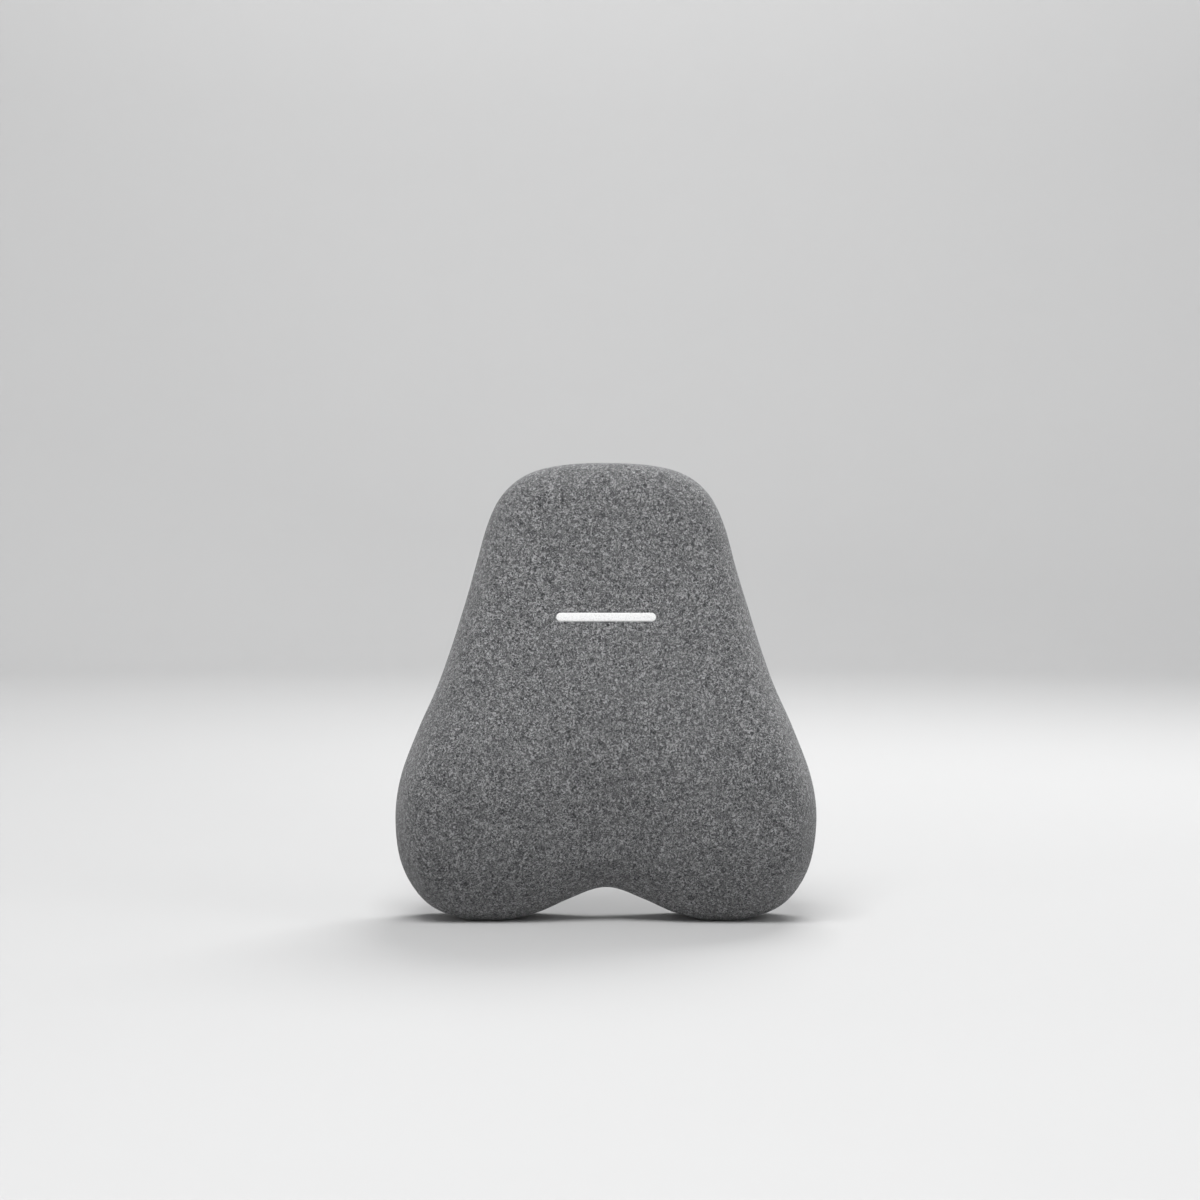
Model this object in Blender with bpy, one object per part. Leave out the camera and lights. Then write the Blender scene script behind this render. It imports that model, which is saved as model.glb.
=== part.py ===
"""Lumbar support cushion: a shaped foam core in a knitted zip-off cover, with a back strap.

The cushion stands on its two lower lobes. Front faces -Y, the flat back faces +Y, up is +Z.
Every length is in metres. The cover, liner and core are offsets of one surface, so they nest.
"""
import math

import bmesh
import bpy
import numpy as np

# ---- cushion body ----
WIDTH = 0.420  # widest, across the lobes
HEIGHT = 0.454  # lobe bottoms to crown
DEPTH = 0.115  # thickest, flat back to front
FRONT_RADIUS = 0.034  # how far in from the outline the front edge starts to round
SIDE_WALL = 0.34  # straight part of the side, as a share of the local depth
BASE_WALL = 0.64  # the same under the lobes, long enough to stand on
BACK_RADIUS = 0.007  # rounded edge where the side meets the back
RIM = 0.012  # the front cover turns this far onto the back
CHANNEL_DEPTH = 0.020  # spine channel between the lobes
CHANNEL_HALF_WIDTH = 0.058
CHANNEL_TOP = 0.245
CHANNEL_FULL = 0.085
FLAT_REST = 0.0020  # the lobes flatten on the floor below this height

# ---- fabric and fits ----
COVER_THICKNESS = 0.0020
LINER_THICKNESS = 0.0008
GAP = 0.0003  # left between pieces that touch

# ---- zip across the lower back ----
ZIP_HEIGHT = 0.120
ZIP_LENGTH = 0.272  # tape length
COIL_LENGTH = 0.250
COIL_PITCH = 0.005
COIL_HALF_WIDTH = 0.003
COIL_OVERLAP = 0.001  # each tooth reaches this far past the middle
COIL_THICKNESS = 0.0018
TAPE_WIDTH = 0.0054
TAPE_THICKNESS = 0.0008
SLIDER_LENGTH = 0.0113
SLIDER_WIDTH = 0.0092
PLATE = 0.0010
UNDER_PLATE = 0.0008
PULL_LENGTH = 0.026
PULL_WIDTH = 0.0070

# ---- strap and side-release buckle ----
STRAP_HEIGHT = 0.290
STRAP_WIDTH = 0.030
WEBBING = 0.0015
STRAP_LIFT = 0.0012  # room under the strap for the keeper
STRAP_REACH = 0.132  # strap ends, left and right of the middle
PATCH_LENGTH = 0.026
BUCKLE_THICKNESS = 0.0105
SOCKET_REAR = -0.031
SOCKET_MOUTH = 0.004
SOCKET_HALF_WIDTH = 0.021
CAVITY_HALF_WIDTH = 0.0165
CAVITY_HEIGHT = 0.0065
WINDOW_FRONT = -0.007
WINDOW_REAR = -0.021
BAR_HALF = 0.0012  # the webbing bars are square, this far from middle to face
LADDER_HALF_THICKNESS = 0.0016
SOCKET_BAR = -0.0292
PLUG_END = 0.031
LADDER_BAR = 0.0178
TAIL_END = 0.104
KEEPER_PLACE = 0.084
KEEPER_LENGTH = 0.009

# ---- care label ----
LABEL_WIDTH = 0.020
LABEL_HEIGHT = 0.032
LABEL_THICKNESS = 0.0005

# ---- outline and depth, as shares of half the width, of the height and of the depth ----
OUTLINE = (
    (0.000, 0.073), (0.167, 0.047), (0.333, 0.015), (0.535, 0.000), (0.715, 0.009),
    (0.866, 0.043), (0.968, 0.116), (1.000, 0.215), (0.974, 0.312), (0.888, 0.420),
    (0.781, 0.535), (0.688, 0.667), (0.621, 0.773), (0.566, 0.864), (0.495, 0.930),
    (0.381, 0.974), (0.214, 0.995), (0.000, 1.000),
)
DEPTHS = (
    (0.00, 0.66), (0.07, 0.80), (0.14, 0.915), (0.22, 0.98), (0.30, 1.00), (0.38, 0.96),
    (0.50, 0.83), (0.62, 0.70), (0.75, 0.585), (0.88, 0.50), (1.00, 0.43),
)
POINTS_PER_HALF = 24
CORNER_CROWDING = 0.13
SPINE_LOW = 0.24
SPINE_HIGH = 0.85
FRONT_STEPS = (0.0, 0.22, 0.42, 0.62, 0.82)
EDGE_STEPS = 5
BACK_STEPS = (0.66, 0.33, 0.03)


def clear_scene():
    """Remove everything already in the file."""
    for item in list(bpy.data.objects):
        bpy.data.objects.remove(item, do_unlink=True)


def finish_of(name, colour, roughness, metallic=0.0):
    """Make one Principled material."""
    material = bpy.data.materials.new(name)
    material.use_nodes = True
    shader = material.node_tree.nodes["Principled BSDF"]
    shader.inputs["Base Color"].default_value = (*colour, 1.0)
    shader.inputs["Roughness"].default_value = roughness
    shader.inputs["Metallic"].default_value = metallic
    return material


def add_object(name, bm, look, smooth=False, origin=(0.0, 0.0, 0.0)):
    """Turn a bmesh into a named object whose origin is the given point."""
    bmesh.ops.recalc_face_normals(bm, faces=bm.faces)
    bmesh.ops.translate(bm, verts=bm.verts, vec=[-value for value in origin])
    mesh = bpy.data.meshes.new(name)
    bm.to_mesh(mesh)
    bm.free()
    if smooth:
        for face in mesh.polygons:
            face.use_smooth = True
    item = bpy.data.objects.new(name, mesh)
    item.location = origin
    bpy.context.scene.collection.objects.link(item)
    colour, roughness, metallic = look
    mesh.materials.append(finish_of(name + "_finish", colour, roughness, metallic))
    return item


# ---- shared solids ----
def prism_into(bm, points, axis, low, high):
    """Add a prism: a flat outline in the two other axes, drawn out along one axis."""
    order = {"x": (1, 2), "y": (0, 2), "z": (0, 1)}[axis]
    along = "xyz".index(axis)
    ends = []
    for level in (low, high):
        ring = []
        for first, second in points:
            place = [0.0, 0.0, 0.0]
            place[order[0]] = first
            place[order[1]] = second
            place[along] = level
            ring.append(bm.verts.new(place))
        ends.append(ring)
    count = len(points)
    caps = [bm.faces.new(ends[0]), bm.faces.new(list(reversed(ends[1])))]
    for step in range(count):
        following = (step + 1) % count
        bm.faces.new((ends[0][step], ends[0][following], ends[1][following], ends[1][step]))
    if count > 4:
        for cap in caps:
            cap.normal_update()
        bmesh.ops.triangulate(bm, faces=caps)


def prism(name, points, axis, low, high, look, origin=(0.0, 0.0, 0.0), smooth=False):
    """Make one prism as its own object."""
    bm = bmesh.new()
    prism_into(bm, points, axis, low, high)
    return add_object(name, bm, look, smooth, origin)


def rectangle(low_a, high_a, low_b, high_b):
    """Corners of a rectangle."""
    return [(low_a, low_b), (high_a, low_b), (high_a, high_b), (low_a, high_b)]


def rounded_rectangle(low_a, high_a, low_b, high_b, radius, steps=3):
    """Corners of a rectangle with rounded corners."""
    centres = (
        (high_a - radius, high_b - radius, 0.0), (low_a + radius, high_b - radius, 90.0),
        (low_a + radius, low_b + radius, 180.0), (high_a - radius, low_b + radius, 270.0),
    )
    points = []
    for centre_a, centre_b, start in centres:
        for step in range(steps + 1):
            angle = math.radians(start + 90.0 * step / steps)
            points.append((centre_a + radius * math.cos(angle), centre_b + radius * math.sin(angle)))
    return points


def ribbon(path, thickness):
    """Outline of a strip of even thickness that follows an open path."""
    places = [np.array(point) for point in path]
    sides = []
    for index, place in enumerate(places):
        before = places[max(index - 1, 0)]
        after = places[min(index + 1, len(places) - 1)]
        first = place - before if index else after - place
        second = after - place if index < len(places) - 1 else place - before
        first = first / np.linalg.norm(first)
        second = second / np.linalg.norm(second)
        across = np.array((-(first + second)[1], (first + second)[0]))
        across = across / np.linalg.norm(across)
        square = np.array((-first[1], first[0]))
        sides.append(across * (thickness / 2) / max(0.5, float(across @ square)))
    left = [tuple(place + side) for place, side in zip(places, sides)]
    right = [tuple(place - side) for place, side in zip(places, sides)]
    return left + right[::-1]


def arc(centre, radius, start, end, steps):
    """Points on an arc, angles in degrees."""
    points = []
    for step in range(steps + 1):
        angle = math.radians(start + (end - start) * step / steps)
        points.append((centre[0] + radius * math.cos(angle), centre[1] + radius * math.sin(angle)))
    return points


def combine(target, tool, operation):
    """Cut a tool from a target or join it on, leaving the tool as a hidden wire shape."""
    step = target.modifiers.new(operation.lower() + "_" + tool.name, "BOOLEAN")
    step.operation = operation
    step.solver = "EXACT"
    step.object = tool
    tool.hide_render = True
    tool.display_type = "WIRE"


def soften(item, width, segments=1):
    """Round the sharp edges of a moulded piece."""
    step = item.modifiers.new("soften", "BEVEL")
    step.width = width
    step.segments = segments
    step.limit_method = "ANGLE"
    step.angle_limit = math.radians(50)
    step.use_clamp_overlap = True


# ---- the cushion surface ----
def smooth_through(stations, value):
    """Smooth curve through a few stations (position, height)."""
    places = [station[0] for station in stations]
    index = min(max(int(np.searchsorted(places, value)) - 1, 0), len(stations) - 2)
    start = max(index - 1, 0)
    stop = min(index + 2, len(stations) - 1)
    (x0, y0), (x1, y1) = stations[index], stations[index + 1]
    slope0 = (y1 - stations[start][1]) / (x1 - places[start])
    slope1 = (stations[stop][1] - y0) / (places[stop] - x0)
    span = x1 - x0
    t = min(max((value - x0) / span, 0.0), 1.0)
    return (
        (2 * t**3 - 3 * t**2 + 1) * y0 + (t**3 - 2 * t**2 + t) * span * slope0
        + (3 * t**2 - 2 * t**3) * y1 + (t**3 - t**2) * span * slope1
    )


def depth_at(x, z):
    """Cushion depth in front of the flat back at one place."""
    full = DEPTH * smooth_through(DEPTHS, z / HEIGHT)
    share = min(max((CHANNEL_TOP - z) / (CHANNEL_TOP - CHANNEL_FULL), 0.0), 1.0)
    share = share * share * (3 - 2 * share)
    return full - CHANNEL_DEPTH * share * math.exp(-((x / CHANNEL_HALF_WIDTH) ** 2))


def spline(points, steps):
    """Points along a smooth curve through the given ones, mirrored at both ends."""
    count = len(points)
    result = []
    for span in range(count - 1):
        p1 = points[span]
        p2 = points[span + 1]
        p0 = points[span - 1] if span else p2 * np.array((-1.0, 1.0))
        p3 = points[span + 2] if span + 2 < count else p1 * np.array((-1.0, 1.0))
        for step in range(steps):
            t = step / steps
            result.append(
                0.5 * (2 * p1 + (p2 - p0) * t + (2 * p0 - 5 * p1 + 4 * p2 - p3) * t**2
                       + (3 * p1 - p0 - 3 * p2 + p3) * t**3)
            )
    result.append(points[-1])
    return np.array(result)


def cushion_outline():
    """Closed outline, from the notch up the right side to the crown and down the left."""
    half = np.array([(x * WIDTH / 2, z * HEIGHT) for x, z in OUTLINE])
    curve = spline(half, 24)
    steps = np.diff(curve, axis=0)
    lengths = np.hypot(steps[:, 0], steps[:, 1])
    turns = np.unwrap(np.arctan2(steps[:, 1], steps[:, 0]))
    bend = np.abs(np.gradient(turns)) / lengths
    bend = np.convolve(np.pad(bend, 12, mode="edge"), np.ones(25) / 25, mode="valid")
    travel = np.concatenate(([0.0], np.cumsum(lengths * (1 + CORNER_CROWDING * bend))))
    wanted = np.linspace(0.0, travel[-1], POINTS_PER_HALF + 1)
    right = np.column_stack([np.interp(wanted, travel, curve[:, axis]) for axis in (0, 1)])
    right[:, 1] -= right[:, 1].min()
    right[:, 1] *= HEIGHT / right[:, 1].max()
    right[right[:, 1] < FLAT_REST, 1] = 0.0
    right[:, 0] *= WIDTH / 2 / right[:, 0].max()
    right[0, 0] = 0.0
    right[-1, 0] = 0.0
    left = right[-2:0:-1] * np.array((-1.0, 1.0))
    return np.vstack((right, left))


def inward(outline):
    """Unit directions pointing into the outline."""
    ahead = np.roll(outline, -1, axis=0) - outline
    behind = outline - np.roll(outline, 1, axis=0)
    ahead /= np.linalg.norm(ahead, axis=1)[:, None]
    behind /= np.linalg.norm(behind, axis=1)[:, None]
    tangent = ahead + behind
    tangent /= np.linalg.norm(tangent, axis=1)[:, None]
    return np.column_stack((-tangent[:, 1], tangent[:, 0]))


def cushion_rings():
    """Rings of the outer surface, from the front spine over the sides to the back spine."""
    outline = cushion_outline()
    aim = inward(outline)
    count = len(outline)
    half = count // 2
    climb = np.array([min(index, count - index) / half for index in range(count)])
    spine = np.column_stack((np.zeros(count),
                             HEIGHT * (SPINE_LOW + (SPINE_HIGH - SPINE_LOW) * climb)))
    facing_down = np.clip(aim[:, 1], 0.0, 1.0)
    edge = outline + aim * FRONT_RADIUS

    def ring(flat, depths):
        return np.column_stack((flat[:, 0], -np.asarray(depths), flat[:, 1]))

    def depths_of(flat):
        return np.array([depth_at(x, z) for x, z in flat])

    rings = []
    for share in FRONT_STEPS:
        flat = spine + (edge - spine) * share
        rings.append(ring(flat, depths_of(flat)))
    wall = depths_of(edge) * (SIDE_WALL + (BASE_WALL - SIDE_WALL) * facing_down**2)
    for step in range(EDGE_STEPS + 1):
        angle = math.pi / 2 * step / EDGE_STEPS
        flat = outline + aim * FRONT_RADIUS * (1 - math.sin(angle))
        rings.append(ring(flat, wall + (depths_of(flat) - wall) * math.cos(angle)))
    for share in (0.0, 1 - math.sqrt(0.5), 1.0):
        flat = outline + aim * BACK_RADIUS * share
        height = BACK_RADIUS * (1 - math.sqrt(1 - (1 - share) ** 2))
        height = BACK_RADIUS if share == 0.0 else height
        rings.append(ring(flat, np.full(count, height if share < 1.0 else 0.0)))
    rim = outline + aim * RIM
    rings.append(ring(rim, np.zeros(count)))
    rim_index = len(rings) - 1
    for share in BACK_STEPS:
        rings.append(ring(spine + (rim - spine) * share, np.zeros(count)))
    slit_index = len(rings) - 1
    rings.append(ring(spine, np.zeros(count)))
    return np.array(rings), rim_index, slit_index


def ring_vertices(bm, rings, spines):
    """Vertices of every ring; a spine ring shares its left and right vertices."""
    table = []
    count = rings.shape[1]
    for index, ring in enumerate(rings):
        row = []
        for step in range(count):
            if index in spines and step > count // 2:
                row.append(row[count - step])
            else:
                row.append(bm.verts.new(ring[step]))
        table.append(row)
    return table


def on_centre(corners):
    """True when every corner lies on the centre line, so the face would have no area."""
    return all(abs(corner.co.x) < 1e-6 for corner in corners)


def add_sheet(bm, table, flip=False):
    """Skin neighbouring rings with triangles, mirrored left to right."""
    count = len(table[0])
    for lower, upper in zip(table, table[1:]):
        for step in range(count):
            following = (step + 1) % count
            a, b, c, d = lower[step], lower[following], upper[following], upper[step]
            halves = [((a, b, c), (a, c, d)), ((a, b, d), (b, c, d))]
            if step >= count // 2:
                halves.reverse()
            chosen = halves[0]
            if any(on_centre(corners) for corners in chosen):
                chosen = halves[1]
            for corners in chosen:
                bm.faces.new(corners[::-1] if flip else corners)


def surface_normals(rings):
    """Outward normals of the closed cushion surface at every ring point."""
    bm = bmesh.new()
    table = ring_vertices(bm, rings, (0, len(rings) - 1))
    add_sheet(bm, table)
    bmesh.ops.recalc_face_normals(bm, faces=bm.faces)
    bm.normal_update()
    normals = np.array([[tuple(vertex.normal) for vertex in row] for row in table])
    bm.free()
    return normals


def closed_layer(name, rings, look):
    """A solid bounded by one closed layer."""
    bm = bmesh.new()
    add_sheet(bm, ring_vertices(bm, rings, (0, len(rings) - 1)))
    return add_object(name, bm, look, smooth=True)


def open_shell(name, outer, inner, look):
    """A thin shell between two layers, joined round the edge of its opening."""
    bm = bmesh.new()
    outside = ring_vertices(bm, outer, (0,))
    inside = ring_vertices(bm, inner, (0,))
    add_sheet(bm, outside)
    add_sheet(bm, inside, flip=True)
    add_sheet(bm, [outside[-1], inside[-1]])
    return add_object(name, bm, look, smooth=True)


def build_cushion(looks):
    """Core, liner, front cover and the two back panels."""
    rings, rim_index, slit_index = cushion_rings()
    normals = surface_normals(rings)

    def layer(inset, last):
        return (rings - normals * inset)[:last + 1]

    liner_out = COVER_THICKNESS + GAP
    liner_in = liner_out + LINER_THICKNESS
    closed_layer("foam_core", layer(liner_in + GAP, len(rings)), looks["foam"])
    open_shell("inner_liner", layer(liner_out, slit_index), layer(liner_in, slit_index),
               looks["liner"])
    open_shell("cover_front", layer(0.0, rim_index), layer(COVER_THICKNESS, rim_index),
               looks["knit"])
    build_back_panels(looks)


def build_back_panels(looks):
    """Upper and lower back panels, which meet at the zip line."""
    outline = cushion_outline()
    panel = outline + inward(outline) * (RIM + GAP)
    half_slot = ZIP_LENGTH / 2 + GAP
    lip = COIL_HALF_WIDTH + TAPE_WIDTH + 2 * GAP
    for name, side in (("back_panel_upper", 1), ("back_panel_lower", -1)):
        level = ZIP_HEIGHT + side * GAP / 2
        points = []
        for here, there in zip(panel, np.roll(panel, -1, axis=0)):
            kept = (here[1] - level) * side > 0
            follows = (there[1] - level) * side > 0
            if kept:
                points.append((here[0], here[1]))
            if kept == follows:
                continue
            share = (level - here[1]) / (there[1] - here[1])
            points.append((here[0] + (there[0] - here[0]) * share, level))
            if kept:
                slot = math.copysign(half_slot, here[0])
                deep = ZIP_HEIGHT + side * lip
                points += [(slot, level), (slot, deep), (-slot, deep), (-slot, level)]
        prism(name, points, "y", -COVER_THICKNESS, 0.0, looks["back"])


# ---- zip ----
def rack(first, last, reach, phase, side):
    """Outline of one coil half: a straight back and teeth that reach past the middle."""
    root = reach * side
    tip = -COIL_OVERLAP * side
    foot = COIL_OVERLAP * side + GAP * side
    tooth = COIL_PITCH / 2 - 2 * GAP
    points = [(first, ZIP_HEIGHT + root)]
    place = first + phase
    points.append((first, ZIP_HEIGHT + foot))
    while place + tooth < last:
        points += [(place, ZIP_HEIGHT + foot), (place, ZIP_HEIGHT + tip),
                   (place + tooth, ZIP_HEIGHT + tip), (place + tooth, ZIP_HEIGHT + foot)]
        place += COIL_PITCH
    points += [(last, ZIP_HEIGHT + foot), (last, ZIP_HEIGHT + root)]
    return points


def build_zip(looks):
    """Tapes, coil halves, stops, slider and pull."""
    tape_top = -GAP / 3
    tape_low = tape_top - TAPE_THICKNESS
    near = COIL_HALF_WIDTH + GAP
    far = near + TAPE_WIDTH
    coil_low = tape_low + GAP
    coil_top = coil_low + COIL_THICKNESS
    half_tape = ZIP_LENGTH / 2
    half_coil = COIL_LENGTH / 2
    for name, side in (("upper", 1), ("lower", -1)):
        low, high = sorted((ZIP_HEIGHT + side * near, ZIP_HEIGHT + side * far))
        prism("zip_tape_" + name, rectangle(-half_tape, half_tape, low, high), "y",
              tape_low, tape_top, looks["tape"])
        phase = COIL_PITCH / 4 + (COIL_PITCH / 2 if side < 0 else 0.0)
        prism("zip_coil_" + name, rack(-half_coil, half_coil, COIL_HALF_WIDTH, phase, side), "y",
              coil_low, coil_top, looks["coil"])
    nose = 0.0030
    body_front = half_coil + GAP + nose
    centre = body_front - SLIDER_LENGTH / 2
    plate_low = coil_top + GAP
    plate_top = plate_low + PLATE
    under_top = tape_low - GAP
    build_slider(looks, centre, nose, plate_low, plate_top, under_top, tape_top)
    stop = 0.0025
    stop_top = coil_top + GAP
    places = {"zip_stop_closed": body_front + 2 * GAP, "zip_stop_open": -half_coil - GAP - stop}
    for name, start in places.items():
        prism(name, rounded_rectangle(start, start + stop, ZIP_HEIGHT - near - 0.0012,
                                      ZIP_HEIGHT + near + 0.0012, 0.0006, 1),
              "y", tape_top + GAP, stop_top, looks["metal"])
    build_pull(looks, centre, plate_top)


def build_slider(looks, centre, nose, plate_low, plate_top, under_top, tape_top):
    """Slider: two plates round the coil, a wedge between them and a bridge for the pull."""
    origin = (centre, plate_top, ZIP_HEIGHT)
    half = SLIDER_LENGTH / 2
    side = SLIDER_WIDTH / 2
    low, high = ZIP_HEIGHT - side, ZIP_HEIGHT + side
    channel = COIL_HALF_WIDTH + GAP
    body = prism("zip_slider",
                 rounded_rectangle(centre - half, centre + half, low, high, 0.0015, 2), "y",
                 tape_top + GAP, plate_top, looks["metal"], origin)
    coil_way = prism("slider_channel",
                     rectangle(centre - 2 * half, centre + 2 * half, ZIP_HEIGHT - channel,
                               ZIP_HEIGHT + channel), "y",
                     tape_top - GAP, plate_low, looks["metal"], origin)
    combine(body, coil_way, "DIFFERENCE")
    under = prism("slider_under_plate",
                  rounded_rectangle(centre - half, centre + half, low, high, 0.0015, 2), "y",
                  under_top - UNDER_PLATE, under_top, looks["metal"], origin)
    wedge = prism("slider_wedge", rectangle(centre + half - nose, centre + half - 0.0004,
                                            ZIP_HEIGHT - 0.0012, ZIP_HEIGHT + 0.0012), "y",
                  under_top - UNDER_PLATE / 2, plate_low + PLATE / 2, looks["metal"], origin)
    arch = [
        (centre - 0.0036, plate_top - PLATE / 2), (centre - 0.0036, plate_top + 0.0016),
        (centre - 0.0022, plate_top + 0.0028), (centre + 0.0022, plate_top + 0.0028),
        (centre + 0.0036, plate_top + 0.0016), (centre + 0.0036, plate_top - PLATE / 2),
        (centre + 0.0018, plate_top - PLATE / 2), (centre + 0.0018, plate_top + 0.0017),
        (centre - 0.0018, plate_top + 0.0017), (centre - 0.0018, plate_top - PLATE / 2),
    ]
    bridge = prism("slider_bridge", arch, "z", ZIP_HEIGHT - 0.0011, ZIP_HEIGHT + 0.0011,
                   looks["metal"], origin)
    for piece in (wedge, under, bridge):
        combine(body, piece, "UNION")


def build_pull(looks, centre, plate_top):
    """Pull tab lying along the closed zip, its cross bar held under the slider's bridge."""
    bar = 0.0005
    axis = plate_top + GAP + bar
    half = PULL_WIDTH / 2
    inner = 0.0015
    reach = 0.0066
    origin = (centre, axis, ZIP_HEIGHT)
    outline = [
        (centre + bar, ZIP_HEIGHT - half + 0.0010), (centre + bar, ZIP_HEIGHT + half - 0.0010),
        (centre - 0.0020, ZIP_HEIGHT + half - 0.0004),
        (centre - 0.0090, ZIP_HEIGHT + half - 0.0004),
        (centre - PULL_LENGTH + 0.0030, ZIP_HEIGHT + half),
        (centre - PULL_LENGTH, ZIP_HEIGHT + half - 0.0022),
        (centre - PULL_LENGTH, ZIP_HEIGHT - half + 0.0022),
        (centre - PULL_LENGTH + 0.0030, ZIP_HEIGHT - half),
        (centre - 0.0090, ZIP_HEIGHT - half + 0.0004),
        (centre - 0.0020, ZIP_HEIGHT - half + 0.0004),
    ]
    pull = prism("zip_pull", outline, "y", axis - bar, axis + bar, looks["metal"], origin)
    window = prism("pull_window", rectangle(centre - reach, centre - bar, ZIP_HEIGHT - inner,
                                            ZIP_HEIGHT + inner), "y",
                   axis - 3 * bar, axis + 3 * bar, looks["metal"], origin)
    combine(pull, window, "DIFFERENCE")


# ---- strap and buckle ----
def build_straps(looks):
    """Left strap sewn round the socket bar, right strap through the plug's ladder."""
    middle = GAP + BUCKLE_THICKNESS / 2
    low = STRAP_HEIGHT - STRAP_WIDTH / 2
    high = STRAP_HEIGHT + STRAP_WIDTH / 2
    flat = GAP + WEBBING / 2
    lifted = STRAP_LIFT + GAP + WEBBING / 2
    turn = math.sqrt(2) * BAR_HALF + GAP + WEBBING / 2
    wide_turn = math.hypot(BAR_HALF, LADDER_HALF_THICKNESS) + GAP + WEBBING / 2
    doubled = lifted + WEBBING + GAP
    bar = (SOCKET_BAR, middle)
    left = [(-STRAP_REACH, flat), (-STRAP_REACH + PATCH_LENGTH, flat),
            (-STRAP_REACH + PATCH_LENGTH + 0.010, lifted), (SOCKET_BAR - 0.010, lifted)]
    left += arc(bar, turn, -90.0, 100.0, 6)
    left += [(SOCKET_BAR - 0.008, middle + 0.0010), (SOCKET_BAR - 0.014, doubled),
             (SOCKET_BAR - 0.036, doubled)]
    prism("strap_left", ribbon(left, WEBBING), "z", low, high, looks["webbing"])
    ladder = (LADDER_BAR, middle)
    right = [(STRAP_REACH, flat), (STRAP_REACH - PATCH_LENGTH, flat),
             (STRAP_REACH - PATCH_LENGTH - 0.010, lifted), (LADDER_BAR + 0.004, lifted)]
    right += arc(ladder, wide_turn, 250.0, 90.0, 6)
    right += [(PLUG_END + 0.0010, middle + wide_turn), (PLUG_END + 0.009, doubled),
              (TAIL_END, doubled)]
    prism("strap_right", ribbon(right, WEBBING), "z", low, high, looks["webbing"])
    staple_low, staple_high = low - GAP, high + GAP
    for name, side in (("anchor_patch_left", -1), ("anchor_patch_right", 1)):
        ends = sorted((side * (STRAP_REACH + 0.002), side * (STRAP_REACH - PATCH_LENGTH + 0.002)))
        top = flat + WEBBING / 2 + GAP
        section = [
            (GAP, staple_low - 0.003), (top + 0.0009, staple_low - 0.003),
            (top + 0.0009, staple_high + 0.003), (GAP, staple_high + 0.003), (GAP, staple_high),
            (top, staple_high), (top, staple_low), (GAP, staple_low),
        ]
        prism(name, section, "x", ends[0], ends[1], looks["back"])
    loop_low = lifted - WEBBING / 2 - GAP
    loop_top = doubled + WEBBING / 2 + GAP
    wall = 0.0009
    origin = (KEEPER_PLACE, lifted, STRAP_HEIGHT)
    keeper = prism("strap_keeper",
                   rounded_rectangle(loop_low - wall, loop_top + wall, staple_low - wall,
                                     staple_high + wall, 0.0009, 1),
                   "x", KEEPER_PLACE - KEEPER_LENGTH / 2, KEEPER_PLACE + KEEPER_LENGTH / 2,
                   looks["webbing"], origin)
    hollow = prism("keeper_hollow", rectangle(loop_low, loop_top, staple_low, staple_high), "x",
                   KEEPER_PLACE - KEEPER_LENGTH, KEEPER_PLACE + KEEPER_LENGTH,
                   looks["webbing"], origin)
    combine(keeper, hollow, "DIFFERENCE")


def build_buckle(looks):
    """Side-release buckle: socket, plug and the plug's two sprung arms."""
    low = GAP
    high = GAP + BUCKLE_THICKNESS
    middle = (low + high) / 2
    cavity_low = middle - CAVITY_HEIGHT / 2
    cavity_high = middle + CAVITY_HEIGHT / 2
    centre = STRAP_HEIGHT
    half = SOCKET_HALF_WIDTH
    socket = prism("buckle_socket",
                   rounded_rectangle(SOCKET_REAR, SOCKET_MOUTH, centre - half, centre + half,
                                     0.004, 3),
                   "y", low, high, looks["plastic"])
    soften(socket, 0.0011)
    slot = STRAP_WIDTH / 2 + 0.0008
    cutters = (
        ("socket_cavity", WINDOW_REAR, SOCKET_MOUTH + 0.002, CAVITY_HALF_WIDTH),
        ("socket_windows", WINDOW_REAR, WINDOW_FRONT, half + 0.002),
    )
    for name, start, stop, reach in cutters:
        tool = prism(name, rectangle(start, stop, centre - reach, centre + reach), "y",
                     cavity_low, cavity_high, looks["plastic"])
        combine(socket, tool, "DIFFERENCE")
    tool = prism("socket_slot", rectangle(SOCKET_BAR + BAR_HALF, WINDOW_REAR - 0.0015,
                                          centre - slot, centre + slot), "y",
                 low - 0.002, high + 0.002, looks["plastic"])
    combine(socket, tool, "DIFFERENCE")
    for name, bottom, top in (("socket_bar_under", low - 0.002, middle - BAR_HALF),
                              ("socket_bar_over", middle + BAR_HALF, high + 0.002)):
        tool = prism(name, rectangle(SOCKET_REAR - 0.002, SOCKET_BAR + BAR_HALF + 0.001,
                                     centre - slot, centre + slot), "y",
                     bottom, top, looks["plastic"])
        combine(socket, tool, "DIFFERENCE")
    build_plug(looks, middle, centre)


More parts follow.
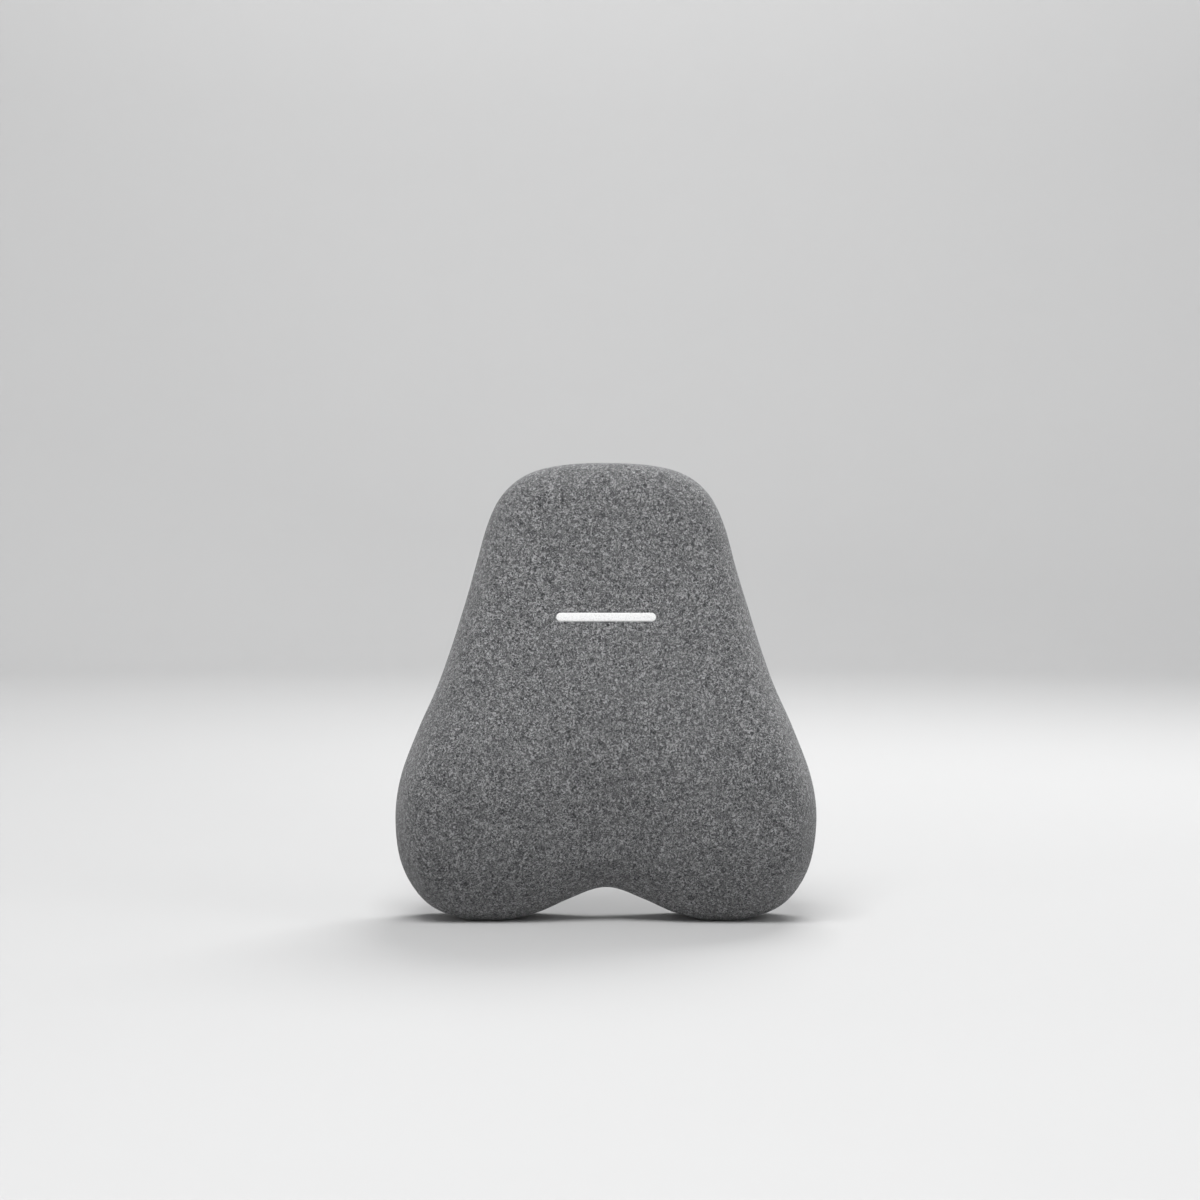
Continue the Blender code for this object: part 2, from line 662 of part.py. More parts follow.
def build_plug(looks, middle, centre):
    """Plug with flange, guide tongue and ladder, and its two arms."""
    flange = SOCKET_MOUTH + 0.0006
    origin = (flange, middle, centre)
    plug = prism("buckle_plug",
                 rounded_rectangle(flange, flange + 0.0042, centre - 0.0198, centre + 0.0198,
                                   0.0012, 2),
                 "y", middle - 0.0042, middle + 0.0042, looks["plastic"], origin)
    slot = STRAP_WIDTH / 2 + 0.0008
    parts = [
        ("plug_tongue", rectangle(WINDOW_REAR + 0.0035, flange + 0.002, centre - 0.0048,
                                  centre + 0.0048), middle - 0.0022, middle + 0.0022),
        ("plug_ladder", rounded_rectangle(flange + 0.002, PLUG_END, centre - 0.0192,
                                          centre + 0.0192, 0.003, 2),
         middle - LADDER_HALF_THICKNESS,
         middle + LADDER_HALF_THICKNESS),
    ]
    for name, outline, bottom, top in parts:
        piece = prism(name, outline, "y", bottom, top, looks["plastic"], origin)
        combine(plug, piece, "UNION")
    gaps = (("ladder_slot_inner", flange + 0.0052, LADDER_BAR - BAR_HALF),
            ("ladder_slot_outer", LADDER_BAR + BAR_HALF, PLUG_END - 0.0034))
    for name, start, stop in gaps:
        tool = prism(name, rectangle(start, stop, centre - slot, centre + slot), "y",
                     middle - 0.006, middle + 0.006, looks["plastic"], origin)
        combine(plug, tool, "DIFFERENCE")
    root = flange - GAP
    shoulder = WINDOW_FRONT - GAP
    stem = CAVITY_HALF_WIDTH - 0.0012
    for name, side in (("plug_arm_upper", 1), ("plug_arm_lower", -1)):
        shape = [
            (root, 0.0108), (root, 0.0122), (root - 0.0020, 0.0132), (shoulder, stem),
            (shoulder, stem + 0.0030), (shoulder - 0.0018, stem + 0.0046),
            (shoulder - 0.0052, stem + 0.0054), (shoulder - 0.0090, stem + 0.0044),
            (shoulder - 0.0122, stem + 0.0012), (shoulder - 0.0128, stem - 0.0012),
            (shoulder - 0.0110, stem - 0.0026), (shoulder, 0.0116), (root - 0.0020, 0.0100),
        ]
        outline = [(x, centre + side * z) for x, z in shape]
        prism(name, outline, "y", middle - CAVITY_HEIGHT / 2 + GAP, middle + CAVITY_HEIGHT / 2 - GAP,
              looks["plastic"], (root, middle, centre + side * 0.0115))


def build_label(looks):
    """Blank care label lying on the lower back panel."""
    prism("care_label", rectangle(0.118, 0.118 + LABEL_WIDTH, 0.052, 0.052 + LABEL_HEIGHT), "y",
          GAP, GAP + LABEL_THICKNESS, looks["label"])


def centre_on_floor():
    """Put the middle of everything over the origin, lowest point on the floor."""
    bpy.context.view_layer.update()
    places = []
    shown = [item for item in bpy.data.objects if item.type == "MESH" and not item.hide_render]
    for item in shown:
        places += [item.matrix_world @ vertex.co for vertex in item.data.vertices]
    nearest = min(place.y for place in places)
    farthest = max(place.y for place in places)
    lowest = min(place.z for place in places)
    for item in bpy.data.objects:
        item.location.y -= (nearest + farthest) / 2
        item.location.z -= lowest


def main():
    """Build every piece."""
    clear_scene()
    looks = {
        "foam": ((0.80, 0.74, 0.58), 0.90, 0.0),
        "liner": ((0.80, 0.80, 0.78), 0.90, 0.0),
        "knit": ((0.16, 0.165, 0.17), 0.95, 0.0),
        "back": ((0.030, 0.030, 0.032), 0.90, 0.0),
        "tape": ((0.035, 0.035, 0.037), 0.85, 0.0),
        "coil": ((0.045, 0.045, 0.047), 0.45, 0.0),
        "metal": ((0.30, 0.30, 0.31), 0.35, 1.0),
        "webbing": ((0.028, 0.028, 0.030), 0.80, 0.0),
        "plastic": ((0.022, 0.022, 0.024), 0.45, 0.0),
        "label": ((0.80, 0.80, 0.78), 0.80, 0.0),
    }
    build_cushion(looks)
    build_zip(looks)
    build_straps(looks)
    build_buckle(looks)
    build_label(looks)
    centre_on_floor()


main()
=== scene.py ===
"""Looks of a lumbar support cushion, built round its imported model.

A shaped foam core sits in a thin liner and a knitted cover that zips off across the lower
back. A strap with a side-release buckle crosses the flat back. The front faces -Y, up is +Z,
and every length is in metres.
"""
import logging
import math
from abc import ABC, abstractmethod
from collections.abc import Sequence
from dataclasses import dataclass, field
from enum import Enum

import bmesh
import bpy
import numpy as np
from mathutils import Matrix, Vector
from mathutils.bvhtree import BVHTree
from mathutils.geometry import delaunay_2d_cdt


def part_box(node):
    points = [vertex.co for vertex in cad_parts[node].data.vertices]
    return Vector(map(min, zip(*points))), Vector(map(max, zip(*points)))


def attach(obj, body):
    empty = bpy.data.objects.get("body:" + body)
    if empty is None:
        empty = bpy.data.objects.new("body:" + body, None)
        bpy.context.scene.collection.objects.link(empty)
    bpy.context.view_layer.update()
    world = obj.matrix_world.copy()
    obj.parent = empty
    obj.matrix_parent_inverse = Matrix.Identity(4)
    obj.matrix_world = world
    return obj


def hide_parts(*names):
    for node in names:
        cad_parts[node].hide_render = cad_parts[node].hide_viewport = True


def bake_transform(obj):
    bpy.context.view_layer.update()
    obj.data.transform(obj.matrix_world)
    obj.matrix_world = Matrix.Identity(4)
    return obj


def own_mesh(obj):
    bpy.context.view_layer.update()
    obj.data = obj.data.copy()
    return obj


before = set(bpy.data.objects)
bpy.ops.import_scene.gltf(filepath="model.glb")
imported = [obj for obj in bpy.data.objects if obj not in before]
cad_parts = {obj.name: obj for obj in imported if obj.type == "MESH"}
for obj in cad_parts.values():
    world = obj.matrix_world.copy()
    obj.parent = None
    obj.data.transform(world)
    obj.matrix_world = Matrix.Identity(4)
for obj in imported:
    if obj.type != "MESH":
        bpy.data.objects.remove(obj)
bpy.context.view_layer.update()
LOG = logging.getLogger("lumbar_cushion")

Colour = tuple[float, float, float]
Face = tuple[int, ...]


class Body(Enum):
    """The bodies that pieces ride on."""

    CUSHION = "cushion"
    SLIDER = "slider"
    PULL = "pull"
    PLUG = "plug"
    KEEPER = "keeper"


class Slot(Enum):
    """The record's material slots."""

    FOAM = "foam"
    LINER = "liner_fabric"
    KNIT = "melange_knit"
    BACK = "back_fabric"
    TAPE = "zip_tape"
    COIL = "zip_coil"
    METAL = "zip_metal"
    WEBBING = "webbing"
    PLASTIC = "buckle_plastic"
    LABEL = "label_cloth"


# ---------------------------------------------------------------- materials


class Wire:
    """A value inside a material, which takes part in sums like a number."""

    def __init__(self, tree: bpy.types.NodeTree, socket: bpy.types.NodeSocket) -> None:
        """Hold one output.

        Args:
            tree: The material's node tree.
            socket: The output that gives the value.
        """
        self.tree = tree
        self.socket = socket

    @property
    def has_parts(self) -> bool:
        """True for a vector or a colour."""
        return self.socket.type in {"VECTOR", "RGBA"}

    def sum(self, operation: str, *others: "Operand", swapped: bool = False) -> "Wire":
        """Do one step of maths.

        Args:
            operation: The node's operation, such as ADD.
            others: The values that follow this one.
            swapped: Whether this value comes last.

        Returns:
            The result.
        """
        terms = [self, *others]
        if swapped:
            terms.reverse()
        parts = any(isinstance(term, tuple) or getattr(term, "has_parts", False) for term in terms)
        node = self.tree.nodes.new("ShaderNodeVectorMath" if parts else "ShaderNodeMath")
        node.operation = operation
        for socket, term in zip(node.inputs, terms):
            feed(self.tree, socket, term)
        return Wire(self.tree, node.outputs[0])

    def __add__(self, other: "Operand") -> "Wire":
        """Add."""
        return self.sum("ADD", other)

    def __radd__(self, other: "Operand") -> "Wire":
        """Add, reflected."""
        return self.sum("ADD", other, swapped=True)

    def __sub__(self, other: "Operand") -> "Wire":
        """Take away."""
        return self.sum("SUBTRACT", other)

    def __rsub__(self, other: "Operand") -> "Wire":
        """Take away, reflected."""
        return self.sum("SUBTRACT", other, swapped=True)

    def __mul__(self, other: "Operand") -> "Wire":
        """Multiply."""
        return self.sum("MULTIPLY", other)

    def __rmul__(self, other: "Operand") -> "Wire":
        """Multiply, reflected."""
        return self.sum("MULTIPLY", other, swapped=True)

    def __truediv__(self, other: "Operand") -> "Wire":
        """Divide."""
        return self.sum("DIVIDE", other)

    def __rtruediv__(self, other: "Operand") -> "Wire":
        """Divide, reflected."""
        return self.sum("DIVIDE", other, swapped=True)

    def __abs__(self) -> "Wire":
        """Size without sign."""
        return self.sum("ABSOLUTE")

    def sine(self) -> "Wire":
        """Sine of an angle in radians."""
        return self.sum("SINE")

    def part(self) -> "Wire":
        """Fraction after the whole number."""
        return self.sum("FRACT")

    def zigzag(self) -> "Wire":
        """Rise and fall between 0 and 1, once for each whole number."""
        return abs(self.part() * 2.0 - 1.0)

    def step(self, low: float, high: float) -> "Wire":
        """Go smoothly from 0 to 1.

        Args:
            low: Where the result is still 0.
            high: Where it reaches 1.

        Returns:
            The eased value.
        """
        node = self.tree.nodes.new("ShaderNodeMapRange")
        node.interpolation_type = "SMOOTHSTEP"
        feed(self.tree, node.inputs["Value"], self)
        node.inputs["From Min"].default_value = low
        node.inputs["From Max"].default_value = high
        return Wire(self.tree, node.outputs["Result"])

    def split(self) -> tuple["Wire", "Wire", "Wire"]:
        """The three parts of a vector.

        Returns:
            Its x, y and z.
        """
        node = self.tree.nodes.new("ShaderNodeSeparateXYZ")
        feed(self.tree, node.inputs[0], self)
        return tuple(Wire(self.tree, output) for output in node.outputs)


Operand = Wire | float | Colour


def feed(tree: bpy.types.NodeTree, socket: bpy.types.NodeSocket, value: Operand) -> None:
    """Link a value to a socket, or set it there.

    Args:
        tree: The material's node tree.
        socket: The input to feed.
        value: A wire, a number, or three numbers.
    """
    if isinstance(value, Wire):
        tree.links.new(value.socket, socket)
    elif socket.type == "RGBA":
        socket.default_value = (*value, 1.0)
    elif socket.type == "VECTOR":
        socket.default_value = value if isinstance(value, tuple) else (value,) * 3
    else:
        socket.default_value = value


class Bench:
    """Makes the nodes of one material."""

    def __init__(self, label: str) -> None:
        """Start a material with one principled shader.

        Args:
            label: The material's name.
        """
        self.material = bpy.data.materials.new(label)
        self.material.use_nodes = True
        self.tree = self.material.node_tree
        self.shader = self.tree.nodes["Principled BSDF"]

    def node(self, kind: str, settings: dict[str, object] | None = None,
             inputs: dict[str | int, Operand] | None = None, output: str | int = 0) -> Wire:
        """Add any node.

        Args:
            kind: The node's type.
            settings: Properties, set before the inputs.
            inputs: Values or links by input name or place.
            output: Which output to return.

        Returns:
            The chosen output.
        """
        node = self.tree.nodes.new(kind)
        for name, value in (settings or {}).items():
            setattr(node, name, value)
        for name, value in (inputs or {}).items():
            feed(self.tree, node.inputs[name], value)
        return Wire(self.tree, node.outputs[output])

    def place(self) -> Wire:
        """Place on the object, in metres."""
        return self.node("ShaderNodeTexCoord", output="Object")

    def noise(self, at: Wire, size: float, detail: float = 2.0, rough: float = 0.5,
              swirl: float = 0.0) -> Wire:
        """Cloudy noise.

        Args:
            at: Where to read it.
            size: Size of its features in metres.
            detail: How many finer layers it has.
            rough: How strong those are.
            swirl: How far it is twisted.

        Returns:
            A value from about 0 to 1.
        """
        return self.node("ShaderNodeTexNoise", inputs={
            "Vector": at, "Scale": 1.0 / size, "Detail": detail, "Roughness": rough,
            "Distortion": swirl})

    def mix(self, share: Operand, first: Operand, second: Operand) -> Wire:
        """Blend two colours.

        Args:
            share: 0 for the first, 1 for the second.
            first: Colour at 0.
            second: Colour at 1.

        Returns:
            The blended colour.
        """
        return self.node("ShaderNodeMix", {"data_type": "RGBA"}, {0: share, 6: first, 7: second}, 2)

    def relief(self, height: Wire, depth: float, under: Wire | None = None) -> Wire:
        """Turn a height into a normal.

        Args:
            height: Height from 0 to 1.
            depth: What a height of 1 stands for, in metres.
            under: A coarser relief to add to.

        Returns:
            The normal.
        """
        inputs: dict[str | int, Operand] = {"Height": height, "Distance": depth}
        if under is not None:
            inputs["Normal"] = under
        return self.node("ShaderNodeBump", None, inputs)

    def coat(self, **inputs: Operand) -> None:
        """Feed the shader; underscores in names stand for spaces."""
        for name, value in inputs.items():
            feed(self.tree, self.shader.inputs[name.replace("_", " ")], value)


MADE: dict[str, bpy.types.Material] = {}


@dataclass(frozen=True)
class Finish(ABC):
    """One kind of surface."""

    label: str

    def material(self) -> bpy.types.Material:
        """The finish's material, made the first time it is asked for.

        Returns:
            The material.
        """
        if self.label not in MADE:
            bench = Bench(self.label)
            self.compose(bench)
            MADE[self.label] = bench.material
        return MADE[self.label]

    def dress(self, item: bpy.types.Object) -> None:
        """Give a whole object this finish.

        Args:
            item: The object.
        """
        if not item.material_slots:
            item.data.materials.append(self.material())
        for place in item.material_slots:
            place.link = "OBJECT"
            place.material = self.material()

    @abstractmethod
    def compose(self, bench: Bench) -> None:
        """Build the nodes.

        Args:
            bench: Makes the nodes of this material.
        """


@dataclass(frozen=True)
class MelangeKnit(Finish):
    """Spun knit of dark and light yarns, which reads as short crooked flecks."""

    dark: Colour = (0.030, 0.031, 0.033)
    middle: Colour = (0.130, 0.132, 0.135)
    light: Colour = (0.43, 0.43, 0.435)
    fleck: float = 0.0030

    def compose(self, bench: Bench) -> None:
        """Build the nodes.

        Args:
            bench: Makes the nodes of this material.
        """
        at = bench.place()
        worms = bench.noise(at, self.fleck, 2.0, 0.6, 1.6)
        crossed = bench.noise(at + (0.31, 0.17, 0.53), self.fleck * 0.62, 2.0, 0.6, 1.2)
        cloud = bench.noise(at, 0.055, 2.0)
        light = (worms.step(0.51, 0.64) * 0.75 + crossed.step(0.53, 0.70) * 0.6) * (cloud * 0.5 + 0.75)
        dark = (1.0 - worms).step(0.52, 0.64) * 0.85 + (1.0 - crossed).step(0.54, 0.68) * 0.55
        tone = bench.mix(dark, self.middle, self.dark)
        tone = bench.mix(light, tone, self.light)
        yarn = bench.noise(at, 0.00085, 2.0, 0.65)
        tone = bench.mix(yarn.step(0.30, 0.62), bench.mix(0.45, tone, self.dark), tone)
        loops = bench.relief(worms * 0.55 + crossed * 0.45, 0.0011)
        bench.coat(Base_Color=tone, Roughness=0.90 + yarn * 0.08,
                   Normal=bench.relief(yarn, 0.0006, loops), Sheen_Weight=0.22,
                   Sheen_Roughness=0.45, Specular_IOR_Level=0.22)


@dataclass(frozen=True)
class BackCloth(Finish):
    """Firm dark cloth with a fine square weave."""

    colour: Colour = (0.040, 0.041, 0.044)
    pick: float = 0.0016

    def compose(self, bench: Bench) -> None:
        """Build the nodes.

        Args:
            bench: Makes the nodes of this material.
        """
        at = bench.place()
        x, _, z = at.split()
        warp = (x * (math.tau / self.pick)).sine()
        weft = (z * (math.tau / self.pick)).sine()
        weave = (warp * weft) * 0.5 + 0.5
        lint = bench.noise(at, 0.0012, 3.0, 0.7)
        cloud = bench.noise(at, 0.06, 3.0)
        shade = weave * 0.35 + lint * 0.5 + cloud * 0.5
        tone = bench.mix(shade.step(0.25, 1.15), tuple(part * 0.62 for part in self.colour),
                         tuple(part * 1.75 for part in self.colour))
        bench.coat(Base_Color=tone, Roughness=0.80 + lint * 0.15,
                   Normal=bench.relief(weave * 0.7 + lint * 0.4, 0.0005),
                   Sheen_Weight=0.15, Sheen_Roughness=0.5, Specular_IOR_Level=0.25)


@dataclass(frozen=True)
class WovenBand(Finish):
    """Narrow woven band with a herringbone face: webbing or zip tape."""

    colour: Colour = (0.021, 0.021, 0.023)
    rib: float = 0.0018
    turn: float = 0.0060
    middle: float = 0.0

    def compose(self, bench: Bench) -> None:
        """Build the nodes.

        Args:
            bench: Makes the nodes of this material.
        """
        at = bench.place()
        x, _, z = at.split()
        column = (z - self.middle) / self.turn + 0.25
        slant = column.zigzag() * (self.turn * 0.9)
        rib = ((x + slant) * (math.tau / self.rib)).sine() * 0.5 + 0.5
        furrow = (1.0 - (column * 2.0).zigzag()).step(0.86, 1.0)
        lint = bench.noise(at, 0.0007, 3.0, 0.7)
        wear = bench.noise(at, 0.02, 2.0)
        shade = rib * 0.6 + lint * 0.35 + wear * 0.25 - furrow * 0.35
        tone = bench.mix(shade.step(0.1, 1.2), tuple(part * 0.5 for part in self.colour),
                         tuple(part * 2.1 for part in self.colour))
        bench.coat(Base_Color=tone, Roughness=0.62 + lint * 0.2,
                   Normal=bench.relief(rib * 0.8 + lint * 0.25 - furrow * 0.5, 0.0005),
                   Sheen_Weight=0.12, Sheen_Roughness=0.4, Specular_IOR_Level=0.3)


@dataclass(frozen=True)
class MouldedPlastic(Finish):
    """Lightly textured moulded nylon or acetal."""

    colour: Colour = (0.022, 0.022, 0.024)
    roughness: float = 0.34
    grain: float = 0.0006
    depth: float = 0.00003

    def compose(self, bench: Bench) -> None:
        """Build the nodes.

        Args:
            bench: Makes the nodes of this material.
        """
        at = bench.place()
        spark = bench.noise(at, self.grain, 2.0, 0.5)
        flow = bench.noise(at, 0.012, 3.0, 0.6)
        # painted highlight: the base colour is lightened on convex edges, found by pointiness
        edge_highlight = bench.node("ShaderNodeNewGeometry", output="Pointiness").step(0.51, 0.60)
        tone = bench.mix(flow.step(0.3, 0.7), self.colour, tuple(part * 1.35 for part in self.colour))
        tone = bench.mix(edge_highlight * 0.5, tone, tuple(part * 3.0 for part in self.colour))
        bench.coat(Base_Color=tone, Roughness=(self.roughness - 0.08) + flow * 0.14 + spark * 0.06,
                   Normal=bench.relief(spark, self.depth), Specular_IOR_Level=0.45)


@dataclass(frozen=True)
class ZipMetal(Finish):
    """Zinc casting with a dark nickel plating, with a painted highlight on its convex edges."""

    colour: Colour = (0.17, 0.17, 0.18)
    # colour of the painted edge highlight; random stains also lean a little towards it
    highlight_and_stain: Colour = (0.52, 0.51, 0.50)

    def compose(self, bench: Bench) -> None:
        """Build the nodes.

        Args:
            bench: Makes the nodes of this material.
        """
        at = bench.place()
        cast = bench.noise(at, 0.0011, 4.0, 0.6)
        stain = bench.noise(at, 0.006, 2.0)
        # painted highlight: convex edges, found by pointiness, are mixed towards the lighter colour
        edge_highlight = bench.node("ShaderNodeNewGeometry", output="Pointiness").step(0.505, 0.58)
        tone = bench.mix(edge_highlight * 0.7 + stain * 0.15, self.colour, self.highlight_and_stain)
        bench.coat(Base_Color=tone, Metallic=1.0, Roughness=0.20 + cast * 0.14 + stain * 0.08,
                   Normal=bench.relief(cast, 0.00003))


@dataclass(frozen=True)
class SoftCloth(Finish):
    """Plain pale or dark cloth, such as a label, a liner or a sewing thread."""

    colour: Colour = (0.78, 0.77, 0.74)
    pick: float = 0.0006
    sheen: float = 0.1

    def compose(self, bench: Bench) -> None:
        """Build the nodes.

        Args:
            bench: Makes the nodes of this material.
        """
        at = bench.place()
        x, _, z = at.split()
        weave = ((x * (math.tau / self.pick)).sine() * (z * (math.tau / self.pick)).sine()) * 0.5 + 0.5
        lint = bench.noise(at, self.pick * 1.4, 2.0, 0.6)
        cloud = bench.noise(at, 0.03, 3.0)
        tone = bench.mix(lint * 0.5 + cloud * 0.5, tuple(part * 0.82 for part in self.colour),
                         tuple(min(1.0, part * 1.06) for part in self.colour))
        bench.coat(Base_Color=tone, Roughness=0.78 + lint * 0.15,
                   Normal=bench.relief(weave * 0.5 + lint * 0.5, self.pick * 0.2),
                   Sheen_Weight=self.sheen, Sheen_Roughness=0.5, Specular_IOR_Level=0.25)


@dataclass(frozen=True)
class FoamSkin(Finish):
    """Cut face of slow foam, with its open cells."""

    colour: Colour = (0.80, 0.74, 0.58)

    def compose(self, bench: Bench) -> None:
        """Build the nodes.

        Args:
            bench: Makes the nodes of this material.
        """
        at = bench.place()
        cells = bench.node("ShaderNodeTexVoronoi", inputs={"Vector": at, "Scale": 900.0}, output=0)
        cloud = bench.noise(at, 0.04, 3.0)
        tone = bench.mix(cloud, self.colour, tuple(part * 0.86 for part in self.colour))
        tone = bench.mix(cells.step(0.0, 0.5), tuple(part * 0.6 for part in self.colour), tone)
        bench.coat(Base_Color=tone, Roughness=0.92 - cloud * 0.05,
                   Normal=bench.relief(cells, 0.0004), Specular_IOR_Level=0.2)


@dataclass(frozen=True)
class PrintedFilm(Finish):
    """White flexible film pressed onto knit, whose loops show through a little."""

    colour: Colour = (0.80, 0.80, 0.80)

    def compose(self, bench: Bench) -> None:
        """Build the nodes.

        Args:
            bench: Makes the nodes of this material.
        """
        at = bench.place()
        loops = bench.noise(at, 0.0022, 2.0, 0.6, 1.4)
        thin = bench.noise(at, 0.0011, 3.0, 0.6)
        tone = bench.mix(thin.step(0.30, 0.55), (0.60, 0.60, 0.60), self.colour)
        bench.coat(Base_Color=tone, Roughness=0.50 + thin * 0.2,
                   Normal=bench.relief(loops, 0.0003), Specular_IOR_Level=0.35)


@dataclass(frozen=True)
class StudioPaper(Finish):
    """Pale seamless paper."""

    colour: Colour = (0.52, 0.52, 0.52)

    def compose(self, bench: Bench) -> None:
        """Build the nodes.

        Args:
            bench: Makes the nodes of this material.
        """
        cloud = bench.noise(bench.place(), 0.4, 2.0)
        tone = bench.mix(cloud, self.colour, tuple(part * 0.985 for part in self.colour))
        bench.coat(Base_Color=tone, Roughness=0.88, Specular_IOR_Level=0.2)


KNIT = MelangeKnit("heather_knit")
BACK = BackCloth("dark_back_cloth")
WEBBING = WovenBand("strap_webbing", middle=0.290)
TAPE = WovenBand("zip_tape_weave", colour=(0.030, 0.030, 0.032), rib=0.0011, turn=0.0027, middle=0.120)
PLASTIC = MouldedPlastic("moulded_acetal")
NYLON = MouldedPlastic("zip_nylon", colour=(0.040, 0.040, 0.043), roughness=0.34, grain=0.0004)
METAL = ZipMetal("dark_nickel")
LABEL = SoftCloth("label_satin", colour=(0.72, 0.71, 0.68), pick=0.0007, sheen=0.2)
LINER = SoftCloth("liner_cloth", colour=(0.66, 0.66, 0.64), pick=0.0012)
THREAD = SoftCloth("dark_thread", colour=(0.085, 0.085, 0.090), pick=0.0005, sheen=0.3)
PALE_THREAD = SoftCloth("pale_thread", colour=(0.60, 0.59, 0.56), pick=0.0005, sheen=0.3)
FOAM = FoamSkin("slow_foam")
FILM = PrintedFilm("white_film")


# ---------------------------------------------------------------- mesh helpers


def make_piece(name: str, points: np.ndarray, faces: Sequence[Face], finish: Finish,
               slot: Slot | None = None, body: Body | None = Body.CUSHION,
               smooth: bool = True) -> bpy.types.Object:
    """Make one object from points and faces.

    Args:
        name: The piece's name.
        points: Places, one row each.
        faces: Indices of the corners of each face.
        finish: What it is made of.
        slot: The record's material slot; not used.
        body: What it rides on; None leaves it on no body.
        smooth: Whether its faces are shaded smooth.

    Returns:
        The new object.
    """
    mesh = bpy.data.meshes.new(name)
    mesh.from_pydata([tuple(map(float, point)) for point in points], [], [tuple(map(int, f)) for f in faces])
    shell = bmesh.new()
    shell.from_mesh(mesh)
    bmesh.ops.remove_doubles(shell, verts=shell.verts, dist=1e-7)
    bmesh.ops.recalc_face_normals(shell, faces=shell.faces)
    shell.to_mesh(mesh)
    shell.free()
    mesh.polygons.foreach_set("use_smooth", [smooth] * len(mesh.polygons))
    mesh.update()
    item = bpy.data.objects.new(name, mesh)
    bpy.context.scene.collection.objects.link(item)
    finish.dress(item)
    if body is not None:
        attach(item, body.value)
    return item


def ring_faces(table: np.ndarray, closed: bool = True) -> list[Face]:
    """Faces between neighbouring rings.

    Args:
        table: Point indices, one row for each ring.
        closed: Whether the last point of a ring joins its first.

    Returns:
        Four-sided faces.
    """
    faces = []
    width = table.shape[1]
    for lower, upper in zip(table, table[1:]):
        for step in range(width if closed else width - 1):
            after = (step + 1) % width
            corners = (lower[step], lower[after], upper[after], upper[step])
            if len(set(corners)) > 2:
                faces.append(tuple(dict.fromkeys(corners)))
    return faces


def tube(path: np.ndarray, radius: float | np.ndarray, sides: int = 6) -> tuple[np.ndarray, list[Face]]:
    """A closed round tube along a path.

    Args:
        path: Places along the middle.
        radius: Radius, one value or one for each place.
        sides: Corners round the tube.

    Returns:
        Points and faces.
    """
    path = np.asarray(path, float)
    sizes = np.broadcast_to(np.asarray(radius, float), (len(path),))
    along = np.gradient(path, axis=0)
    along /= np.linalg.norm(along, axis=1)[:, None]
    side = np.cross(along[0], (0.13, 0.91, 0.39))
    sides_at = []
    for direction in along:
        side = side - direction * float(side @ direction)
        side /= np.linalg.norm(side)
        sides_at.append(side.copy())
    first = np.array(sides_at)
    second = np.cross(along, first)
    angles = np.arange(sides) * math.tau / sides
    rings = (path[:, None] + sizes[:, None, None] * (
        np.cos(angles)[None, :, None] * first[:, None] + np.sin(angles)[None, :, None] * second[:, None]))
    table = np.arange(len(path) * sides).reshape(len(path), sides)
    faces = ring_faces(table) + [tuple(table[0][::-1]), tuple(table[-1])]
    return rings.reshape(-1, 3), faces


def gather(parts: Sequence[tuple[np.ndarray, list[Face]]]) -> tuple[np.ndarray, list[Face]]:
    """Several meshes as one.

    Args:
        parts: Points and faces of each.

    Returns:
        All the points and all the faces.
    """
    points, faces, start = [], [], 0
    for some, corners in parts:
        points.append(some)
        faces += [tuple(index + start for index in face) for face in corners]
        start += len(some)
    return np.vstack(points), faces


def walk(path: np.ndarray, spacing: float) -> np.ndarray:
    """Even steps along a path.

    Args:
        path: Corner places.
        spacing: About how far apart the steps are.

    Returns:
        Places along it, ends included.
    """
    path = np.asarray(path, float)
    travel = np.concatenate(([0.0], np.cumsum(np.linalg.norm(np.diff(path, axis=0), axis=1))))
    count = max(2, int(round(travel[-1] / spacing)) + 1)
    wanted = np.linspace(0.0, travel[-1], count)
    return np.column_stack([np.interp(wanted, travel, path[:, axis]) for axis in range(path.shape[1])])


def fine_loop(loop: np.ndarray, spacing: float) -> np.ndarray:
    """A closed line with extra points between its corners.

    Args:
        loop: Its corners, which all stay.
        spacing: The longest step.

    Returns:
        Places round the line.
    """
    places = []
    for start, stop in zip(loop, np.roll(loop, -1, axis=0)):
        count = max(1, math.ceil(float(np.linalg.norm(stop - start)) / spacing))
        places += [start + (stop - start) * step / count for step in range(count)]
    return np.array(places)


def stitches(path: np.ndarray, pitch: float = 0.0036, bite: float = 0.72, radius: float = 0.00024,
             outward: Sequence[float] = (0.0, 1.0, 0.0)) -> tuple[np.ndarray, list[Face]]:
    """A row of thread dashes, each sunk at both ends.

    Args:
        path: The row's line on the cloth.
        pitch: From one stitch to the next.
        bite: The share of the pitch that shows as thread.
        radius: Half the thread's thickness.
        outward: Away from the cloth.

    Returns:
        Points and faces.
    """
    places = walk(path, pitch)
    lift = np.asarray(outward, float)
    parts = []
    for start, stop in zip(places, places[1:]):
        middle, reach = (start + stop) / 2, (stop - start) * bite / 2
        line = [middle + reach * share + lift * (radius * (0.9 - 1.5 * share ** 4))
                for share in (-1.0, -0.6, 0.0, 0.6, 1.0)]
        parts.append(tube(np.array(line), np.array((0.55, 0.95, 1.0, 0.95, 0.55)) * radius, 5))
    return gather(parts)


def distance_to(points: np.ndarray, loop: np.ndarray) -> np.ndarray:
    """How far points are from a closed line.

    Args:
        points: Flat places.
        loop: Corners of the line.

    Returns:
        One distance for each point.
    """
    starts, ends = loop, np.roll(loop, -1, axis=0)
    spans = ends - starts
    lengths = np.maximum((spans ** 2).sum(axis=1), 1e-14)
    best = np.full(len(points), 1e9)
    for start, span, length in zip(starts, spans, lengths):
        share = np.clip(((points - start) @ span) / length, 0.0, 1.0)
        best = np.minimum(best, np.linalg.norm(points - start - share[:, None] * span, axis=1))
    return best


